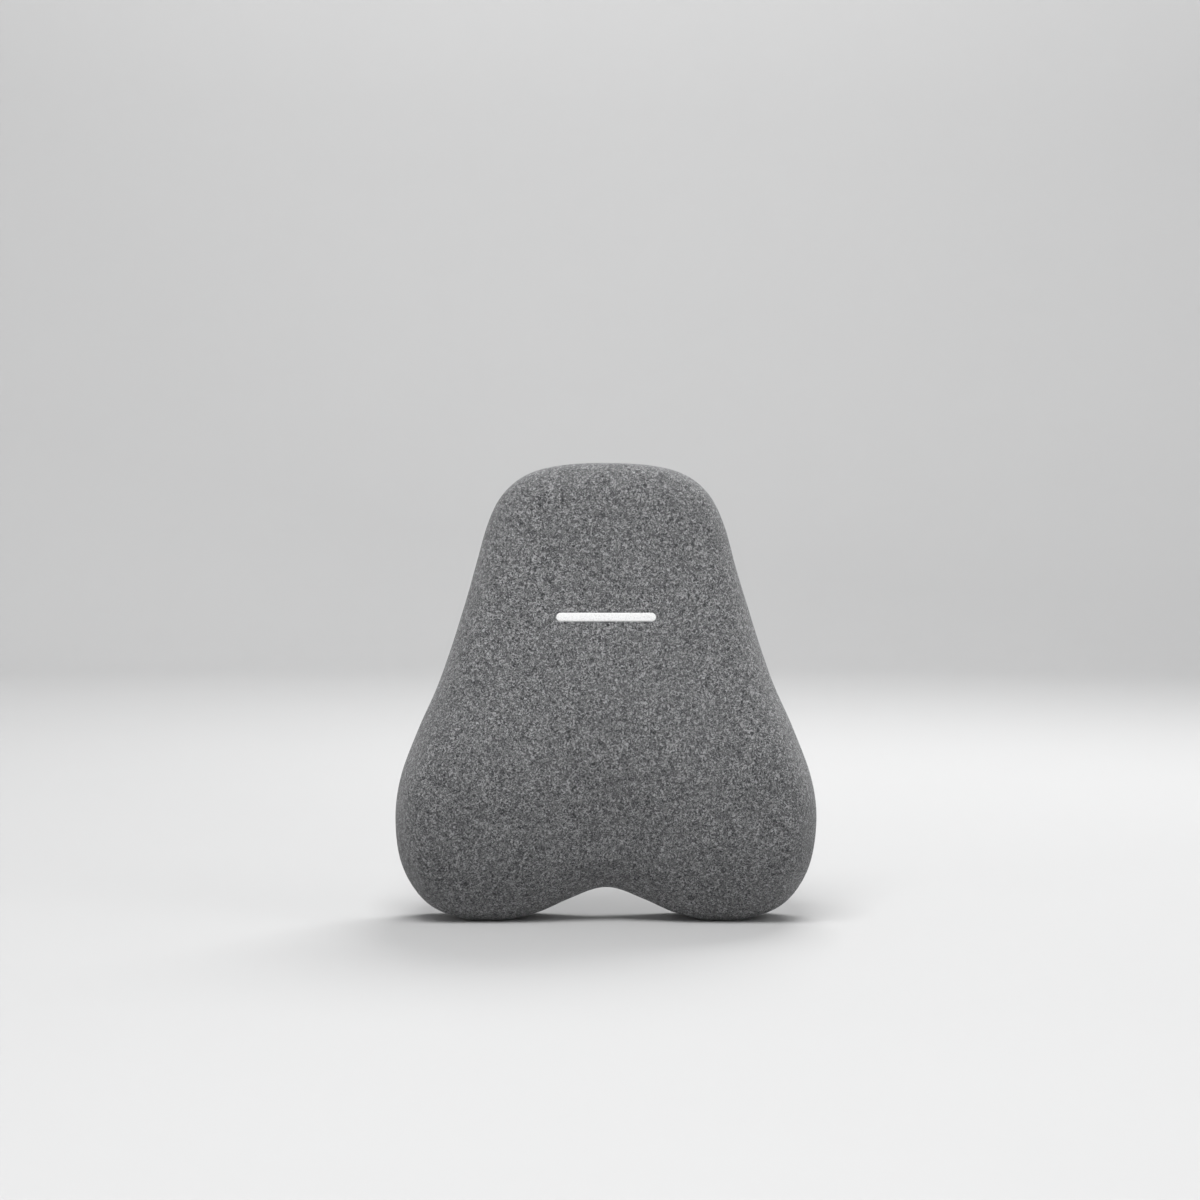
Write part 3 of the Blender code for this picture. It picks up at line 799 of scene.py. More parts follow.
def eased(value: np.ndarray | float, low: float, high: float) -> np.ndarray | float:
    """Smooth step from 0 at low to 1 at high."""
    share = np.clip((np.asarray(value, float) - low) / (high - low), 0.0, 1.0)
    return share * share * (3.0 - 2.0 * share)


def ripple(places: np.ndarray, size: float, seed: int) -> np.ndarray:
    """Smooth unevenness from -1 to 1.

    Args:
        places: Where to read it.
        size: Size of the waves in metres.
        seed: Picks one of many patterns.

    Returns:
        One value for each place.
    """
    pick = np.random.default_rng(seed)
    total = np.zeros(len(places))
    for _ in range(7):
        turn = pick.normal(size=places.shape[1])
        turn *= math.tau / (size * pick.uniform(0.7, 1.5) * np.linalg.norm(turn))
        total += np.sin(places @ turn + pick.uniform(0.0, math.tau))
    return total / 4.0


def flat_fill(loops: Sequence[np.ndarray], spacing: float) -> tuple[np.ndarray, list[Face]]:
    """Fill a flat outline with triangles that follow nested lines near its edge.

    Args:
        loops: The outline first, then lines inside it.
        spacing: How far apart the points in the middle are.

    Returns:
        Flat points and faces.
    """
    outline = loops[0]
    edges = [(step, (step + 1) % len(outline)) for step in range(len(outline))]
    low, high = outline.min(axis=0), outline.max(axis=0)
    grid_x, grid_z = np.meshgrid(np.arange(low[0], high[0], spacing), np.arange(low[1], high[1], spacing))
    grid_x = grid_x + (np.arange(grid_x.shape[0]) % 2)[:, None] * spacing / 2
    grid = np.column_stack((grid_x.ravel(), grid_z.ravel()))
    keep = distance_to(grid, loops[-1]) > spacing * 0.55
    keep &= distance_to(grid, outline) > distance_to(loops[-1], outline).max() + spacing * 0.3
    flat = np.vstack((*loops, grid[keep & inside(grid, outline)]))
    made = delaunay_2d_cdt([Vector(point) for point in flat], edges, [], 1, 1e-7)
    return np.array([tuple(point) for point in made[0]]), [tuple(face) for face in made[2]]


def inside(points: np.ndarray, loop: np.ndarray) -> np.ndarray:
    """Which points lie inside a closed line.

    Args:
        points: Flat places.
        loop: Corners of the line.

    Returns:
        True or False for each point.
    """
    result = np.zeros(len(points), bool)
    for start, stop in zip(loop, np.roll(loop, -1, axis=0)):
        if start[1] == stop[1]:
            continue
        crosses = (start[1] > points[:, 1]) != (stop[1] > points[:, 1])
        at = start[0] + (points[:, 1] - start[1]) * (stop[0] - start[0]) / (stop[1] - start[1])
        result ^= crosses & (points[:, 0] < at)
    return result


def thick_sheet(flat: np.ndarray, faces: Sequence[Face], top: np.ndarray,
                bottom: np.ndarray) -> tuple[np.ndarray, list[Face]]:
    """A closed sheet in the back's plane.

    Args:
        flat: Places in x and z.
        faces: Triangles that fill its outline.
        top: Depth of its outer side at each place.
        bottom: Depth of its inner side at each place.

    Returns:
        Points and faces.
    """
    count = len(flat)
    outer = np.column_stack((flat[:, 0], top, flat[:, 1]))
    inner = np.column_stack((flat[:, 0], bottom, flat[:, 1]))
    uses: dict[tuple[int, int], int] = {}
    for face in faces:
        for start, stop in zip(face, face[1:] + face[:1]):
            uses[(start, stop)] = uses.get((start, stop), 0) + 1
    rim = [(start, stop, stop + count, start + count) for start, stop in uses if (stop, start) not in uses]
    backs = [tuple(index + count for index in face[::-1]) for face in faces]
    return np.vstack((outer, inner)), list(faces) + backs + rim


def subdivide(item: bpy.types.Object, levels: int = 1) -> None:
    """Smooth a piece with a subdivision surface."""
    step = item.modifiers.new("smooth_surface", "SUBSURF")
    step.levels = step.render_levels = levels


# ---------------------------------------------------------------- the cushion's form


@dataclass(frozen=True)
class CushionForm:
    """Outer shape of the cushion: its outline and its depth in front of the flat back."""

    width: float
    height: float
    back: float
    depth: float = 0.115
    front_radius: float = 0.034
    side_wall: float = 0.34
    base_wall: float = 0.64
    back_radius: float = 0.007
    rim: float = 0.012
    channel_depth: float = 0.020
    channel_half_width: float = 0.058
    channel_top: float = 0.245
    channel_full: float = 0.085
    spine: tuple[float, float] = (0.24, 0.85)
    points_per_half: int = 96
    outline_shares: tuple[tuple[float, float], ...] = (
        (0.000, 0.073), (0.167, 0.047), (0.333, 0.015), (0.535, 0.000), (0.715, 0.009),
        (0.866, 0.043), (0.968, 0.116), (1.000, 0.215), (0.974, 0.312), (0.888, 0.420),
        (0.781, 0.535), (0.688, 0.667), (0.621, 0.773), (0.566, 0.864), (0.495, 0.930),
        (0.381, 0.974), (0.214, 0.995), (0.000, 1.000))
    depth_shares: tuple[tuple[float, float], ...] = (
        (0.00, 0.66), (0.07, 0.80), (0.14, 0.915), (0.22, 0.98), (0.30, 1.00), (0.38, 0.96),
        (0.50, 0.83), (0.62, 0.70), (0.75, 0.585), (0.88, 0.50), (1.00, 0.43))

    @classmethod
    def of_frame(cls) -> "CushionForm":
        """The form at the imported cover's size."""
        low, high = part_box("cover_front")
        return cls(high[0] - low[0], high[2] - low[2], high[1])

    def depth_at(self, flat: np.ndarray) -> np.ndarray:
        """Depth in front of the back.

        Args:
            flat: Places in x and z.

        Returns:
            One depth for each place.
        """
        places, heights = np.array(self.depth_shares).T
        slopes = np.empty_like(places)
        slopes[1:-1] = (heights[2:] - heights[:-2]) / (places[2:] - places[:-2])
        slopes[0] = (heights[1] - heights[0]) / (places[1] - places[0])
        slopes[-1] = (heights[-1] - heights[-2]) / (places[-1] - places[-2])
        value = np.clip(flat[:, 1] / self.height, 0.0, 1.0)
        low = np.clip(np.searchsorted(places, value) - 1, 0, len(places) - 2)
        span = places[low + 1] - places[low]
        t = (value - places[low]) / span
        full = ((2 * t**3 - 3 * t**2 + 1) * heights[low] + (t**3 - 2 * t**2 + t) * span * slopes[low]
                + (3 * t**2 - 2 * t**3) * heights[low + 1] + (t**3 - t**2) * span * slopes[low + 1])
        share = 1.0 - eased(flat[:, 1], self.channel_full, self.channel_top)
        return self.depth * full - self.channel_depth * share * np.exp(
            -((flat[:, 0] / self.channel_half_width) ** 2))

    def outline(self, per_half: int | None = None) -> np.ndarray:
        """Closed outline from the notch up the right side and down the left.

        Args:
            per_half: How many steps each half has.

        Returns:
            Places in x and z.
        """
        per_half = per_half or self.points_per_half
        half = np.array([(x * self.width / 2, z * self.height) for x, z in self.outline_shares])
        curve = []
        for span in range(len(half) - 1):
            p1, p2 = half[span], half[span + 1]
            p0 = half[span - 1] if span else p2 * (-1.0, 1.0)
            p3 = half[span + 2] if span + 2 < len(half) else p1 * (-1.0, 1.0)
            for t in np.arange(24) / 24:
                curve.append(0.5 * (2 * p1 + (p2 - p0) * t + (2 * p0 - 5 * p1 + 4 * p2 - p3) * t**2
                                    + (3 * p1 - p0 - 3 * p2 + p3) * t**3))
        curve = np.array(curve + [half[-1]])
        travel = np.concatenate(([0.0], np.cumsum(np.linalg.norm(np.diff(curve, axis=0), axis=1))))
        wanted = np.linspace(0.0, travel[-1], per_half + 1)
        right = np.column_stack([np.interp(wanted, travel, curve[:, axis]) for axis in (0, 1)])
        right[:, 1] -= right[:, 1].min()
        right[:, 1] *= self.height / right[:, 1].max()
        right[:, 1] = np.maximum(0.0, right[:, 1] - 0.002 * np.exp(-right[:, 1] / 0.003))
        right[:, 0] *= self.width / 2 / right[:, 0].max()
        right[(0, -1), 0] = 0.0
        return np.vstack((right, right[-2:0:-1] * (-1.0, 1.0)))

    @staticmethod
    def inward(outline: np.ndarray) -> np.ndarray:
        """Unit directions into an outline.

        Args:
            outline: Its places, in order round it.

        Returns:
            One direction for each place.
        """
        ahead = np.roll(outline, -1, axis=0) - outline
        behind = outline - np.roll(outline, 1, axis=0)
        tangent = ahead / np.linalg.norm(ahead, axis=1)[:, None]
        tangent += behind / np.linalg.norm(behind, axis=1)[:, None]
        tangent /= np.linalg.norm(tangent, axis=1)[:, None]
        return np.column_stack((-tangent[:, 1], tangent[:, 0]))

    def rings(self) -> np.ndarray:
        """Rings from the front spine over the sides to the rolled edge of the back rim.

        Returns:
            Places by ring, by step round it.
        """
        outline = self.outline()
        aim = self.inward(outline)
        count = len(outline)
        climb = np.array([min(index, count - index) for index in range(count)]) / (count // 2)
        low, high = self.spine
        spine = np.column_stack((np.zeros(count), self.height * (low + (high - low) * climb)))
        edge = outline + aim * self.front_radius
        wall = self.depth_at(edge) * (self.side_wall + (self.base_wall - self.side_wall)
                                      * np.clip(aim[:, 1], 0.0, 1.0) ** 2)
        rings = []

        def add(flat: np.ndarray, depths: np.ndarray | float) -> None:
            """Add one ring."""
            depths = np.broadcast_to(depths, (count,))
            rings.append(np.column_stack((flat[:, 0], self.back - depths, flat[:, 1])))

        for share in np.linspace(0.0, 0.93, 16):
            flat = spine + (edge - spine) * share
            add(flat, self.depth_at(flat))
        for angle in np.linspace(0.0, math.pi / 2, 9):
            flat = outline + aim * self.front_radius * (1 - math.sin(angle))
            add(flat, wall + (self.depth_at(flat) - wall) * math.cos(angle))
        for share in (0.8, 0.6, 0.4, 0.2):
            add(outline, self.back_radius + (wall - self.back_radius) * share)
        for angle in np.linspace(0.0, math.pi / 2, 5):
            add(outline + aim * self.back_radius * (1 - math.cos(angle)),
                self.back_radius * (1 - math.sin(angle)))
        for inset, depth in ((0.0092, 0.0), (0.0106, 0.0001), (0.0114, 0.0005), (0.0118, 0.0012),
                             (0.0119, 0.0020)):
            add(outline + aim * inset, depth)
        return np.array(rings)


# ---------------------------------------------------------------- sub-assemblies


@dataclass
class KnitCover:
    """Front, sides and back rim of the zip-off cover, stretched over the foam."""

    form: CushionForm
    thickness: float = 0.0016
    shrink: float = 0.0016
    pressure: float = 4.0
    swell: float = 0.0026
    reach: float = 0.0034
    frames: int = 20
    steps: int = 6
    mass: float = 0.25
    stretch: float = 12.0
    shear: float = 4.0
    bend: float = 1.5
    drift: float = 0.4
    clearance: float = 0.0004
    probe: float = 0.012
    pucker: float = 0.00032
    uneven: float = 0.0006
    dimple: float = 0.00022
    item: bpy.types.Object | None = field(default=None, init=False)

    def index_table(self, rings: np.ndarray) -> np.ndarray:
        """Point numbers for every ring; the front spine's two sides share theirs.

        Args:
            rings: The rings' places.

        Returns:
            One row for each ring.
        """
        count = rings.shape[1]
        table = np.arange(rings.shape[0] * count).reshape(rings.shape[0], count)
        for step in range(count // 2 + 1, count):
            table[0, step] = table[0, count - step]
        return table

    def normals(self, rings: np.ndarray) -> np.ndarray:
        """Outward directions.

        Args:
            rings: The rings' places.

        Returns:
            One direction for each place.
        """
        shell = bmesh.new()
        table = self.index_table(rings)
        corners = [shell.verts.new(place) for place in rings.reshape(-1, 3)]
        for face in ring_faces(table):
            shell.faces.new([corners[index] for index in face])
        bmesh.ops.recalc_face_normals(shell, faces=shell.faces)
        shell.normal_update()
        found = np.array([tuple(corner.normal) for corner in corners])[table.ravel()]
        shell.free()
        found = found.reshape(rings.shape)
        if found[8, 10, 1] > 0:
            found = -found
        return found

    def settle(self, rings: np.ndarray, normals: np.ndarray) -> np.ndarray:
        """Blow the cover up a little, so that it is taut the way stretched cloth is.

        Args:
            rings: The rings' places.
            normals: Outward directions.

        Returns:
            The settled places.
        """
        held = np.zeros(rings.shape[:2])
        held[-7:] = 1.0
        held[-12:-7] = np.linspace(0.1, 0.9, 5)[:, None]
        start = rings - normals * self.shrink * (1.0 - held)[:, :, None]
        table = self.index_table(rings)
        mesh = bpy.data.meshes.new("cover_trial")
        mesh.from_pydata([tuple(p) for p in start.reshape(-1, 3)], [], ring_faces(table))
        if sum(float(face.normal.y) for face in mesh.polygons) > 0:
            mesh.flip_normals()
        trial = bpy.data.objects.new("cover_trial", mesh)
        bpy.context.scene.collection.objects.link(trial)
        pins = trial.vertex_groups.new(name="pins")
        for index, weight in enumerate(held.ravel()):
            if weight > 0:
                pins.add([index], float(weight), "REPLACE")
        cloth = trial.modifiers.new("cloth", "CLOTH")
        settings = cloth.settings
        settings.quality = self.steps
        settings.mass = self.mass
        settings.tension_stiffness = settings.compression_stiffness = self.stretch
        settings.shear_stiffness = self.shear
        settings.bending_stiffness = self.bend
        settings.use_pressure = True
        settings.uniform_pressure_force = self.pressure
        settings.vertex_group_mass = "pins"
        settings.effector_weights.gravity = 0.0
        cloth.point_cache.frame_start, cloth.point_cache.frame_end = 1, self.frames
        scene = bpy.context.scene
        for number in range(1, self.frames + 1):
            scene.frame_set(number)
        shown = trial.evaluated_get(bpy.context.evaluated_depsgraph_get()).to_mesh()
        places = np.empty(len(shown.vertices) * 3)
        shown.vertices.foreach_get("co", places)
        moved = places.reshape(-1, 3)[table.ravel()].reshape(rings.shape) - start
        scene.frame_set(1)
        bpy.data.objects.remove(trial, do_unlink=True)
        size = np.linalg.norm(moved, axis=2, keepdims=True)
        moved *= self.reach * (1.0 - np.exp(-size / (1.8 * self.reach))) / np.maximum(size, 1e-9)
        LOG.info("cover settled by %.1f mm, up to %.1f mm", 1000 * float(size.mean()),
                 1000 * float(size.max()))
        slide = start + moved - rings
        rise = (slide * normals).sum(axis=2)
        slide = (slide - normals * rise[:, :, None]) * self.drift
        rise = np.clip(rise, 0.0, self.swell) * (1.0 - held)
        return rings + slide + normals * np.maximum(rise, self.needed(rings, normals))[:, :, None]

    def needed(self, rings: np.ndarray, normals: np.ndarray) -> np.ndarray:
        """How far the cloth has to stand out to clear the liner.

        Args:
            rings: The rings' places.
            normals: Outward directions.

        Returns:
            One distance for each place, smoothed along the surface.
        """
        tree = BVHTree.FromObject(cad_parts["inner_liner"], bpy.context.evaluated_depsgraph_get())
        probe = self.probe
        rise = np.zeros(rings.shape[:2])
        for place in np.ndindex(rise.shape):
            away = Vector(normals[place])
            _, _, _, far = tree.ray_cast(Vector(rings[place]) + away * probe, -away, 2 * probe)
            if far is not None and far < probe + 0.0023:
                rise[place] = max(0.0, probe - far + self.thickness + self.clearance)
        rise[-10:] = 0.0
        wide = rise.copy()
        for _ in range(12):
            beside = np.roll(wide, 1, 1) + np.roll(wide, -1, 1)
            ahead, behind = np.vstack((wide[1:], wide[-1:])), np.vstack((wide[:1], wide[:-1]))
            wide = np.maximum(rise, (wide + beside + ahead + behind) / 5)
        return wide

    def crease(self, rings: np.ndarray, normals: np.ndarray) -> np.ndarray:
        """Add the soft gathers near the back seam and the slight unevenness of the front.

        Args:
            rings: The rings' places.
            normals: Outward directions.

        Returns:
            The creased places.
        """
        steps = np.linalg.norm(np.diff(rings[-1], axis=0, append=rings[-1][:1]), axis=1)
        travel = (np.cumsum(steps) - steps[0])[:, None]
        lap = steps.sum()
        gathers = np.zeros(rings.shape[1])
        pick = np.random.default_rng(5)
        for waves in (31, 43, 58):
            gathers += np.sin(travel[:, 0] * math.tau * waves / lap + pick.uniform(0, math.tau)) / 2.2
        count = len(rings)
        fade = np.zeros(count)
        fade[-11:-3] = (0.12, 0.30, 0.55, 0.85, 1.0, 1.0, 0.7, 0.3)
        away = fade[:, None] * gathers[None, :] * self.pucker
        wide = ripple(rings.reshape(-1, 3), 0.16, 3).reshape(rings.shape[:2]) * self.uneven
        near = ripple(rings.reshape(-1, 3), 0.060, 8).reshape(rings.shape[:2]) * self.dimple
        calm = np.ones(count)
        calm[-8:] = 0.0
        return rings + normals * (away + (wide + near) * calm[:, None])[:, :, None]

    def build(self) -> None:
        """Make the cover and stand it in for its solid."""
        rings = self.form.rings()
        normals = self.normals(rings)
        rings = self.settle(rings, normals)
        rings[0, rings.shape[1] // 2 + 1:] = rings[0, rings.shape[1] // 2 - 1:0:-1]
        rings = self.crease(rings, self.normals(rings))
        normals = self.normals(rings)
        rings[:, :, 2] = np.maximum(rings[:, :, 2], 0.0)
        inner = (rings - normals * self.thickness)[:-3]
        table = self.index_table(rings)
        under = self.index_table(inner) + table.size
        faces = ring_faces(table)
        faces += [face[::-1] for face in ring_faces(under)]
        faces += ring_faces(np.vstack((table[-1], under[-1])))
        points = np.vstack((rings.reshape(-1, 3), inner.reshape(-1, 3)))
        used = sorted({index for face in faces for index in face})
        renumber = {old: new for new, old in enumerate(used)}
        faces = [tuple(renumber[index] for index in face) for face in faces]
        self.item = make_piece("cover_knit", points[used], faces, KNIT, Slot.KNIT)
        subdivide(self.item)
        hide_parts("cover_front")
        LOG.info("cover_knit: %d faces before smoothing", len(faces))


@dataclass
class FrontMark:
    """Plain white bar pressed onto the front, in the place of a printed mark."""

    cover: KnitCover
    length: float = 0.098
    height: float = 0.0085
    centre: tuple[float, float] = (0.0, 0.302)
    film: float = 0.00035

    def build(self) -> None:
        """Lay the bar on the knit."""
        graph = bpy.context.evaluated_depsgraph_get()
        tree = BVHTree.FromObject(self.cover.item, graph)
        half, end = self.length / 2, self.height / 2
        rows, columns = 7, 61
        outer = np.zeros((rows, columns, 3))
        inner = np.zeros((rows, columns, 3))
        for row, share in enumerate(np.linspace(-1, 1, rows)):
            for column, along in enumerate(np.sin(np.linspace(-math.pi / 2, math.pi / 2, columns))):
                x = along * half
                past = max(0.0, abs(x) - (half - end)) / end
                z = share * end * math.sqrt(max(0.0, 1.0 - past * past))
                spot, facing, _, _ = tree.ray_cast(
                    Vector((self.centre[0] + x, -0.3, self.centre[1] + z)), Vector((0, 1, 0)))
                edge = min(1.0, 2.2 * (1 - abs(share)), 2.2 * (1 - past))
                outer[row, column] = spot + facing * (0.00008 + self.film * (0.35 + 0.65 * max(0.0, edge)))
                inner[row, column] = spot - facing * 0.00015
        table = np.arange(rows * columns).reshape(rows, columns)
        under = table + table.size
        faces = ring_faces(table, closed=False) + [f[::-1] for f in ring_faces(under, closed=False)]
        rim = np.concatenate((table[0], table[1:, -1], table[-1, -2::-1], table[-2:0:-1, 0]))
        faces += ring_faces(np.vstack((rim, rim + table.size)))
        make_piece("front_mark", np.vstack((outer.reshape(-1, 3), inner.reshape(-1, 3))), faces, FILM)
        LOG.info("front_mark: %.0f x %.1f mm", 1000 * self.length, 1000 * self.height)


@dataclass
class BackPanels:
    """The two panels of the flat back, which meet at the zip."""

    form: CushionForm
    zip_height: float
    half_slot: float
    lip: float
    thickness: float = 0.0018
    groove: float = 0.0045
    groove_depth: float = 0.00045
    groove_width: float = 0.0011
    edge_round: float = 0.0016
    edge_drop: float = 0.0014
    gap: float = 0.0003
    spacing: float = 0.0060

    def outline(self, upper: bool) -> np.ndarray:
        """One panel's outline.

        Args:
            upper: The upper panel or the lower one.

        Returns:
            Places in x and z.
        """
        outer = self.form.outline(240)
        edge = outer + self.form.inward(outer) * (self.form.rim + 0.0002)
        side = 1 if upper else -1
        level = self.zip_height + side * self.gap / 2
        points: list[tuple[float, float]] = []
        for here, there in zip(edge, np.roll(edge, -1, axis=0)):
            kept, follows = (here[1] - level) * side > 0, (there[1] - level) * side > 0
            if kept:
                points.append(tuple(here))
            if kept == follows:
                continue
            share = (level - here[1]) / (there[1] - here[1])
            points.append((here[0] + (there[0] - here[0]) * share, level))
            if kept:
                slot = math.copysign(self.half_slot, here[0])
                deep = self.zip_height + side * self.lip
                points += [(slot, level), (slot, deep), (-slot, deep), (-slot, level)]
        return fine_loop(np.array(points), 0.0026)

    def surface(self, flat: np.ndarray, outline: np.ndarray) -> np.ndarray:
        """Depth of a panel's outer side.

        Args:
            flat: Places in x and z.
            outline: The panel's outline.

        Returns:
            One depth for each place.
        """
        away = distance_to(flat, outline)
        rounding = np.clip(away / self.edge_round, 0.0, 1.0)
        roll = -self.edge_drop * (1.0 - np.sqrt(rounding * (2 - rounding)))
        stitch = -self.groove_depth * np.exp(-((away - self.groove) / self.groove_width) ** 2)
        swell = -0.00022 + 0.00016 * ripple(flat, 0.05, 11) * eased(away, 0.003, 0.02)
        pull = 0.00018 * np.sin(flat @ np.array((230.0, 190.0))) * np.exp(-away / 0.010)
        return self.form.back + np.minimum(roll + stitch + swell + pull, 0.00008)

    def build(self) -> None:
        """Make both panels and the stitching round them."""
        for upper, name, solid in ((True, "back_cover_upper", "back_panel_upper"),
                                   (False, "back_cover_lower", "back_panel_lower")):
            outline = self.outline(upper)
            loops = [outline]
            aim = self.form.inward(outline)
            for inset in (0.0005, 0.0012, 0.0022, 0.0034, 0.0045, 0.0057, 0.0080):
                loop = outline + aim * inset
                loops.append(loop[distance_to(loop, outline) > inset * 0.93])
            flat, faces = flat_fill(loops, self.spacing)
            top = self.surface(flat, outline)
            edge = distance_to(flat, outline) < 1e-5
            bottom = np.where(edge, top - 0.0003, self.form.back - self.thickness)
            points, faces = thick_sheet(flat, faces, top, bottom)
            item = make_piece(name, points, faces, BACK, Slot.BACK)
            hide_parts(solid)
            self.topstitch(name + "_stitching", outline, aim)

    def topstitch(self, name: str, outline: np.ndarray, aim: np.ndarray) -> None:
        """One row of thread along a panel's edge.

        Args:
            name: The piece's name.
            outline: The panel's outline.
            aim: Directions into it.
        """
        row = outline + aim * self.groove
        keep = distance_to(row, outline) > self.groove * 0.9
        row = row[keep]
        row = np.vstack((row, row[:1]))
        depth = self.surface(row, outline)
        path = np.column_stack((row[:, 0], depth, row[:, 1]))
        points, faces = stitches(path, pitch=0.0038, radius=0.00026)
        make_piece(name, points, faces, THREAD, Slot.BACK)


@dataclass
class Zip:
    """Coil zip sewn into the slot between the panels, with slider, pull and stops."""

    height: float
    back: float
    half_tape: float
    half_coil: float
    tape_near: float = 0.0033
    tape_far: float = 0.0087
    tuck: float = 0.0008
    overlap: float = 0.0004
    pitch: float = 0.0013
    wire: float = 0.00029
    turn_steps: int = 12
    wedge: tuple[float, float] = (0.1247, 0.1286)
    cuts: tuple[tuple[float, float, float], ...] = (
        (-0.136, -0.1165, 1.00), (-0.1165, -0.1105, 0.94), (-0.1105, -0.104, 0.88),
        (-0.104, -0.096, 0.82), (-0.096, -0.086, 0.76), (-0.086, 0.092, 0.70),
        (0.092, 0.102, 0.76), (0.102, 0.110, 0.82), (0.110, 0.117, 0.90), (0.117, 0.136, 1.00))

    def coil(self, start: float, stop: float, side: int) -> tuple[np.ndarray, list[Face]]:
        """A length of coil.

        Args:
            start: Where it begins along the zip.
            stop: Where it ends.
            side: 1 for the upper half and -1 for the lower.

        Returns:
            Points and faces.
        """
        first = math.ceil(start / self.pitch) * self.pitch
        turns = math.ceil(stop / self.pitch) - math.ceil(start / self.pitch)
        shift = 0.0 if side > 0 else self.pitch / 2
        angle = np.arange(turns * self.turn_steps + 1) * math.tau / self.turn_steps
        across = np.sign(np.cos(angle)) * np.abs(np.cos(angle)) ** 0.7
        path = np.column_stack((
            first + shift + angle / math.tau * self.pitch,
            self.back + 0.00035 + 0.00055 * np.sin(angle),
            self.height + side * (0.00098 - 0.00168 * across)))
        return tube(path, self.wire, 6)

    def tape(self, start: float, stop: float, side: int) -> tuple[np.ndarray, list[Face]]:
        """A length of tape with a rounded selvedge.

        Args:
            start: Where it begins along the zip.
            stop: Where it ends.
            side: 1 for the upper half and -1 for the lower.

        Returns:
            Points and faces.
        """
        low, high = self.back - 0.0009, self.back - 0.0001
        under = low + 0.00028
        near, far = self.tape_near, self.tape_far
        places = np.linspace(start, stop, max(2, int((stop - start) / 0.0015) + 1))
        rings = []
        for x in places:
            inner = 0.0014 if self.wedge[0] < x < self.wedge[1] else 0.0002
            section = [(inner, low), (inner, under), (near - 0.0001, under), (near, (low + high) / 2),
                       (near + 0.0003, high), (near + 0.0012, high + 0.00005),
                       (near + 0.0024, high - 0.00004), (near + 0.0036, high - 0.00002),
                       (far - 0.0003, high), (far, (low + high) / 2),
                       (far + 0.0001, low + 0.0001), (far + self.tuck, low),
                       (far + self.tuck, low - 0.0002), (far - 0.0003, low - 0.0002)]
            rings.append([(x, y, self.height + side * z) for z, y in section])
        rings = np.array(rings)
        count = rings.shape[1]
        table = np.arange(len(places) * count).reshape(len(places), count)
        faces = ring_faces(table) + [tuple(table[0][::-1]), tuple(table[-1])]
        return rings.reshape(-1, 3), faces

    def build(self) -> None:
        """Make both halves and dress the metal parts."""
        for half, side in (("upper", 1), ("lower", -1)):
            for number, (start, stop, keep) in enumerate(self.cuts):
                end = self.half_tape + self.overlap
                first, last = max(start, -end), min(stop, end)
                tape = make_piece(f"zip_band_{half}_{number + 1}", *self.tape(first, last, side),
                                  TAPE, Slot.TAPE)
                coil = make_piece(f"zip_chain_{half}_{number + 1}",
                                  *self.coil(max(start, -self.half_coil), min(stop, self.half_coil), side),
                                  NYLON, Slot.COIL)
                if number == 5:
                    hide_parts("zip_tape_" + half)
                    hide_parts("zip_coil_" + half)
                if keep < 1.0:
                    anchor = (0.0, self.back, self.height + side * self.tape_far)
                    for piece in (tape, coil):
                        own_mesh(piece)
            self.sew(half, side)
        for name, width in (("zip_slider", 0.00028), ("zip_pull", 0.00022),
                            ("zip_stop_closed", 0.0003), ("zip_stop_open", 0.0003)):
            keep_node(name, METAL, width)
        LOG.info("zip: %.0f mm of coil", 2000 * self.half_coil)

    def sew(self, half: str, side: int) -> None:
        """The rows that hold the panel's lip to the tape.

        Args:
            half: Upper or lower.
            side: 1 or -1 for the same.
        """
        level = self.height + side * (self.tape_far - 0.0011)
        path = np.array([(-self.half_tape + 0.002, self.back - 0.00006, level),
                         (self.half_tape - 0.002, self.back - 0.00006, level)])
        points, faces = stitches(path, pitch=0.0030, radius=0.00020)
        make_piece("zip_sewing_" + half, points, faces, THREAD, Slot.TAPE)


def keep_node(name: str, finish: Finish, width: float, segments: int = 3) -> None:
    """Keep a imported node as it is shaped, with softened edges and a proper finish.

    Args:
        name: The node.
        finish: What it is made of.
        width: Size of the softened edge.
        segments: Steps round that edge.
    """
    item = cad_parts[name]
    weld = item.modifiers.new("weld", "WELD")
    weld.merge_threshold = 1e-6
    if width > 0:
        soft = item.modifiers.new("softened_edges", "BEVEL")
        soft.width = width
        soft.segments = segments
        soft.limit_method = "ANGLE"
        soft.angle_limit = math.radians(25)
        soft.use_clamp_overlap = True
        soft.harden_normals = False
    finish.dress(item)
    LOG.info("%s keeps its packed shape", name)


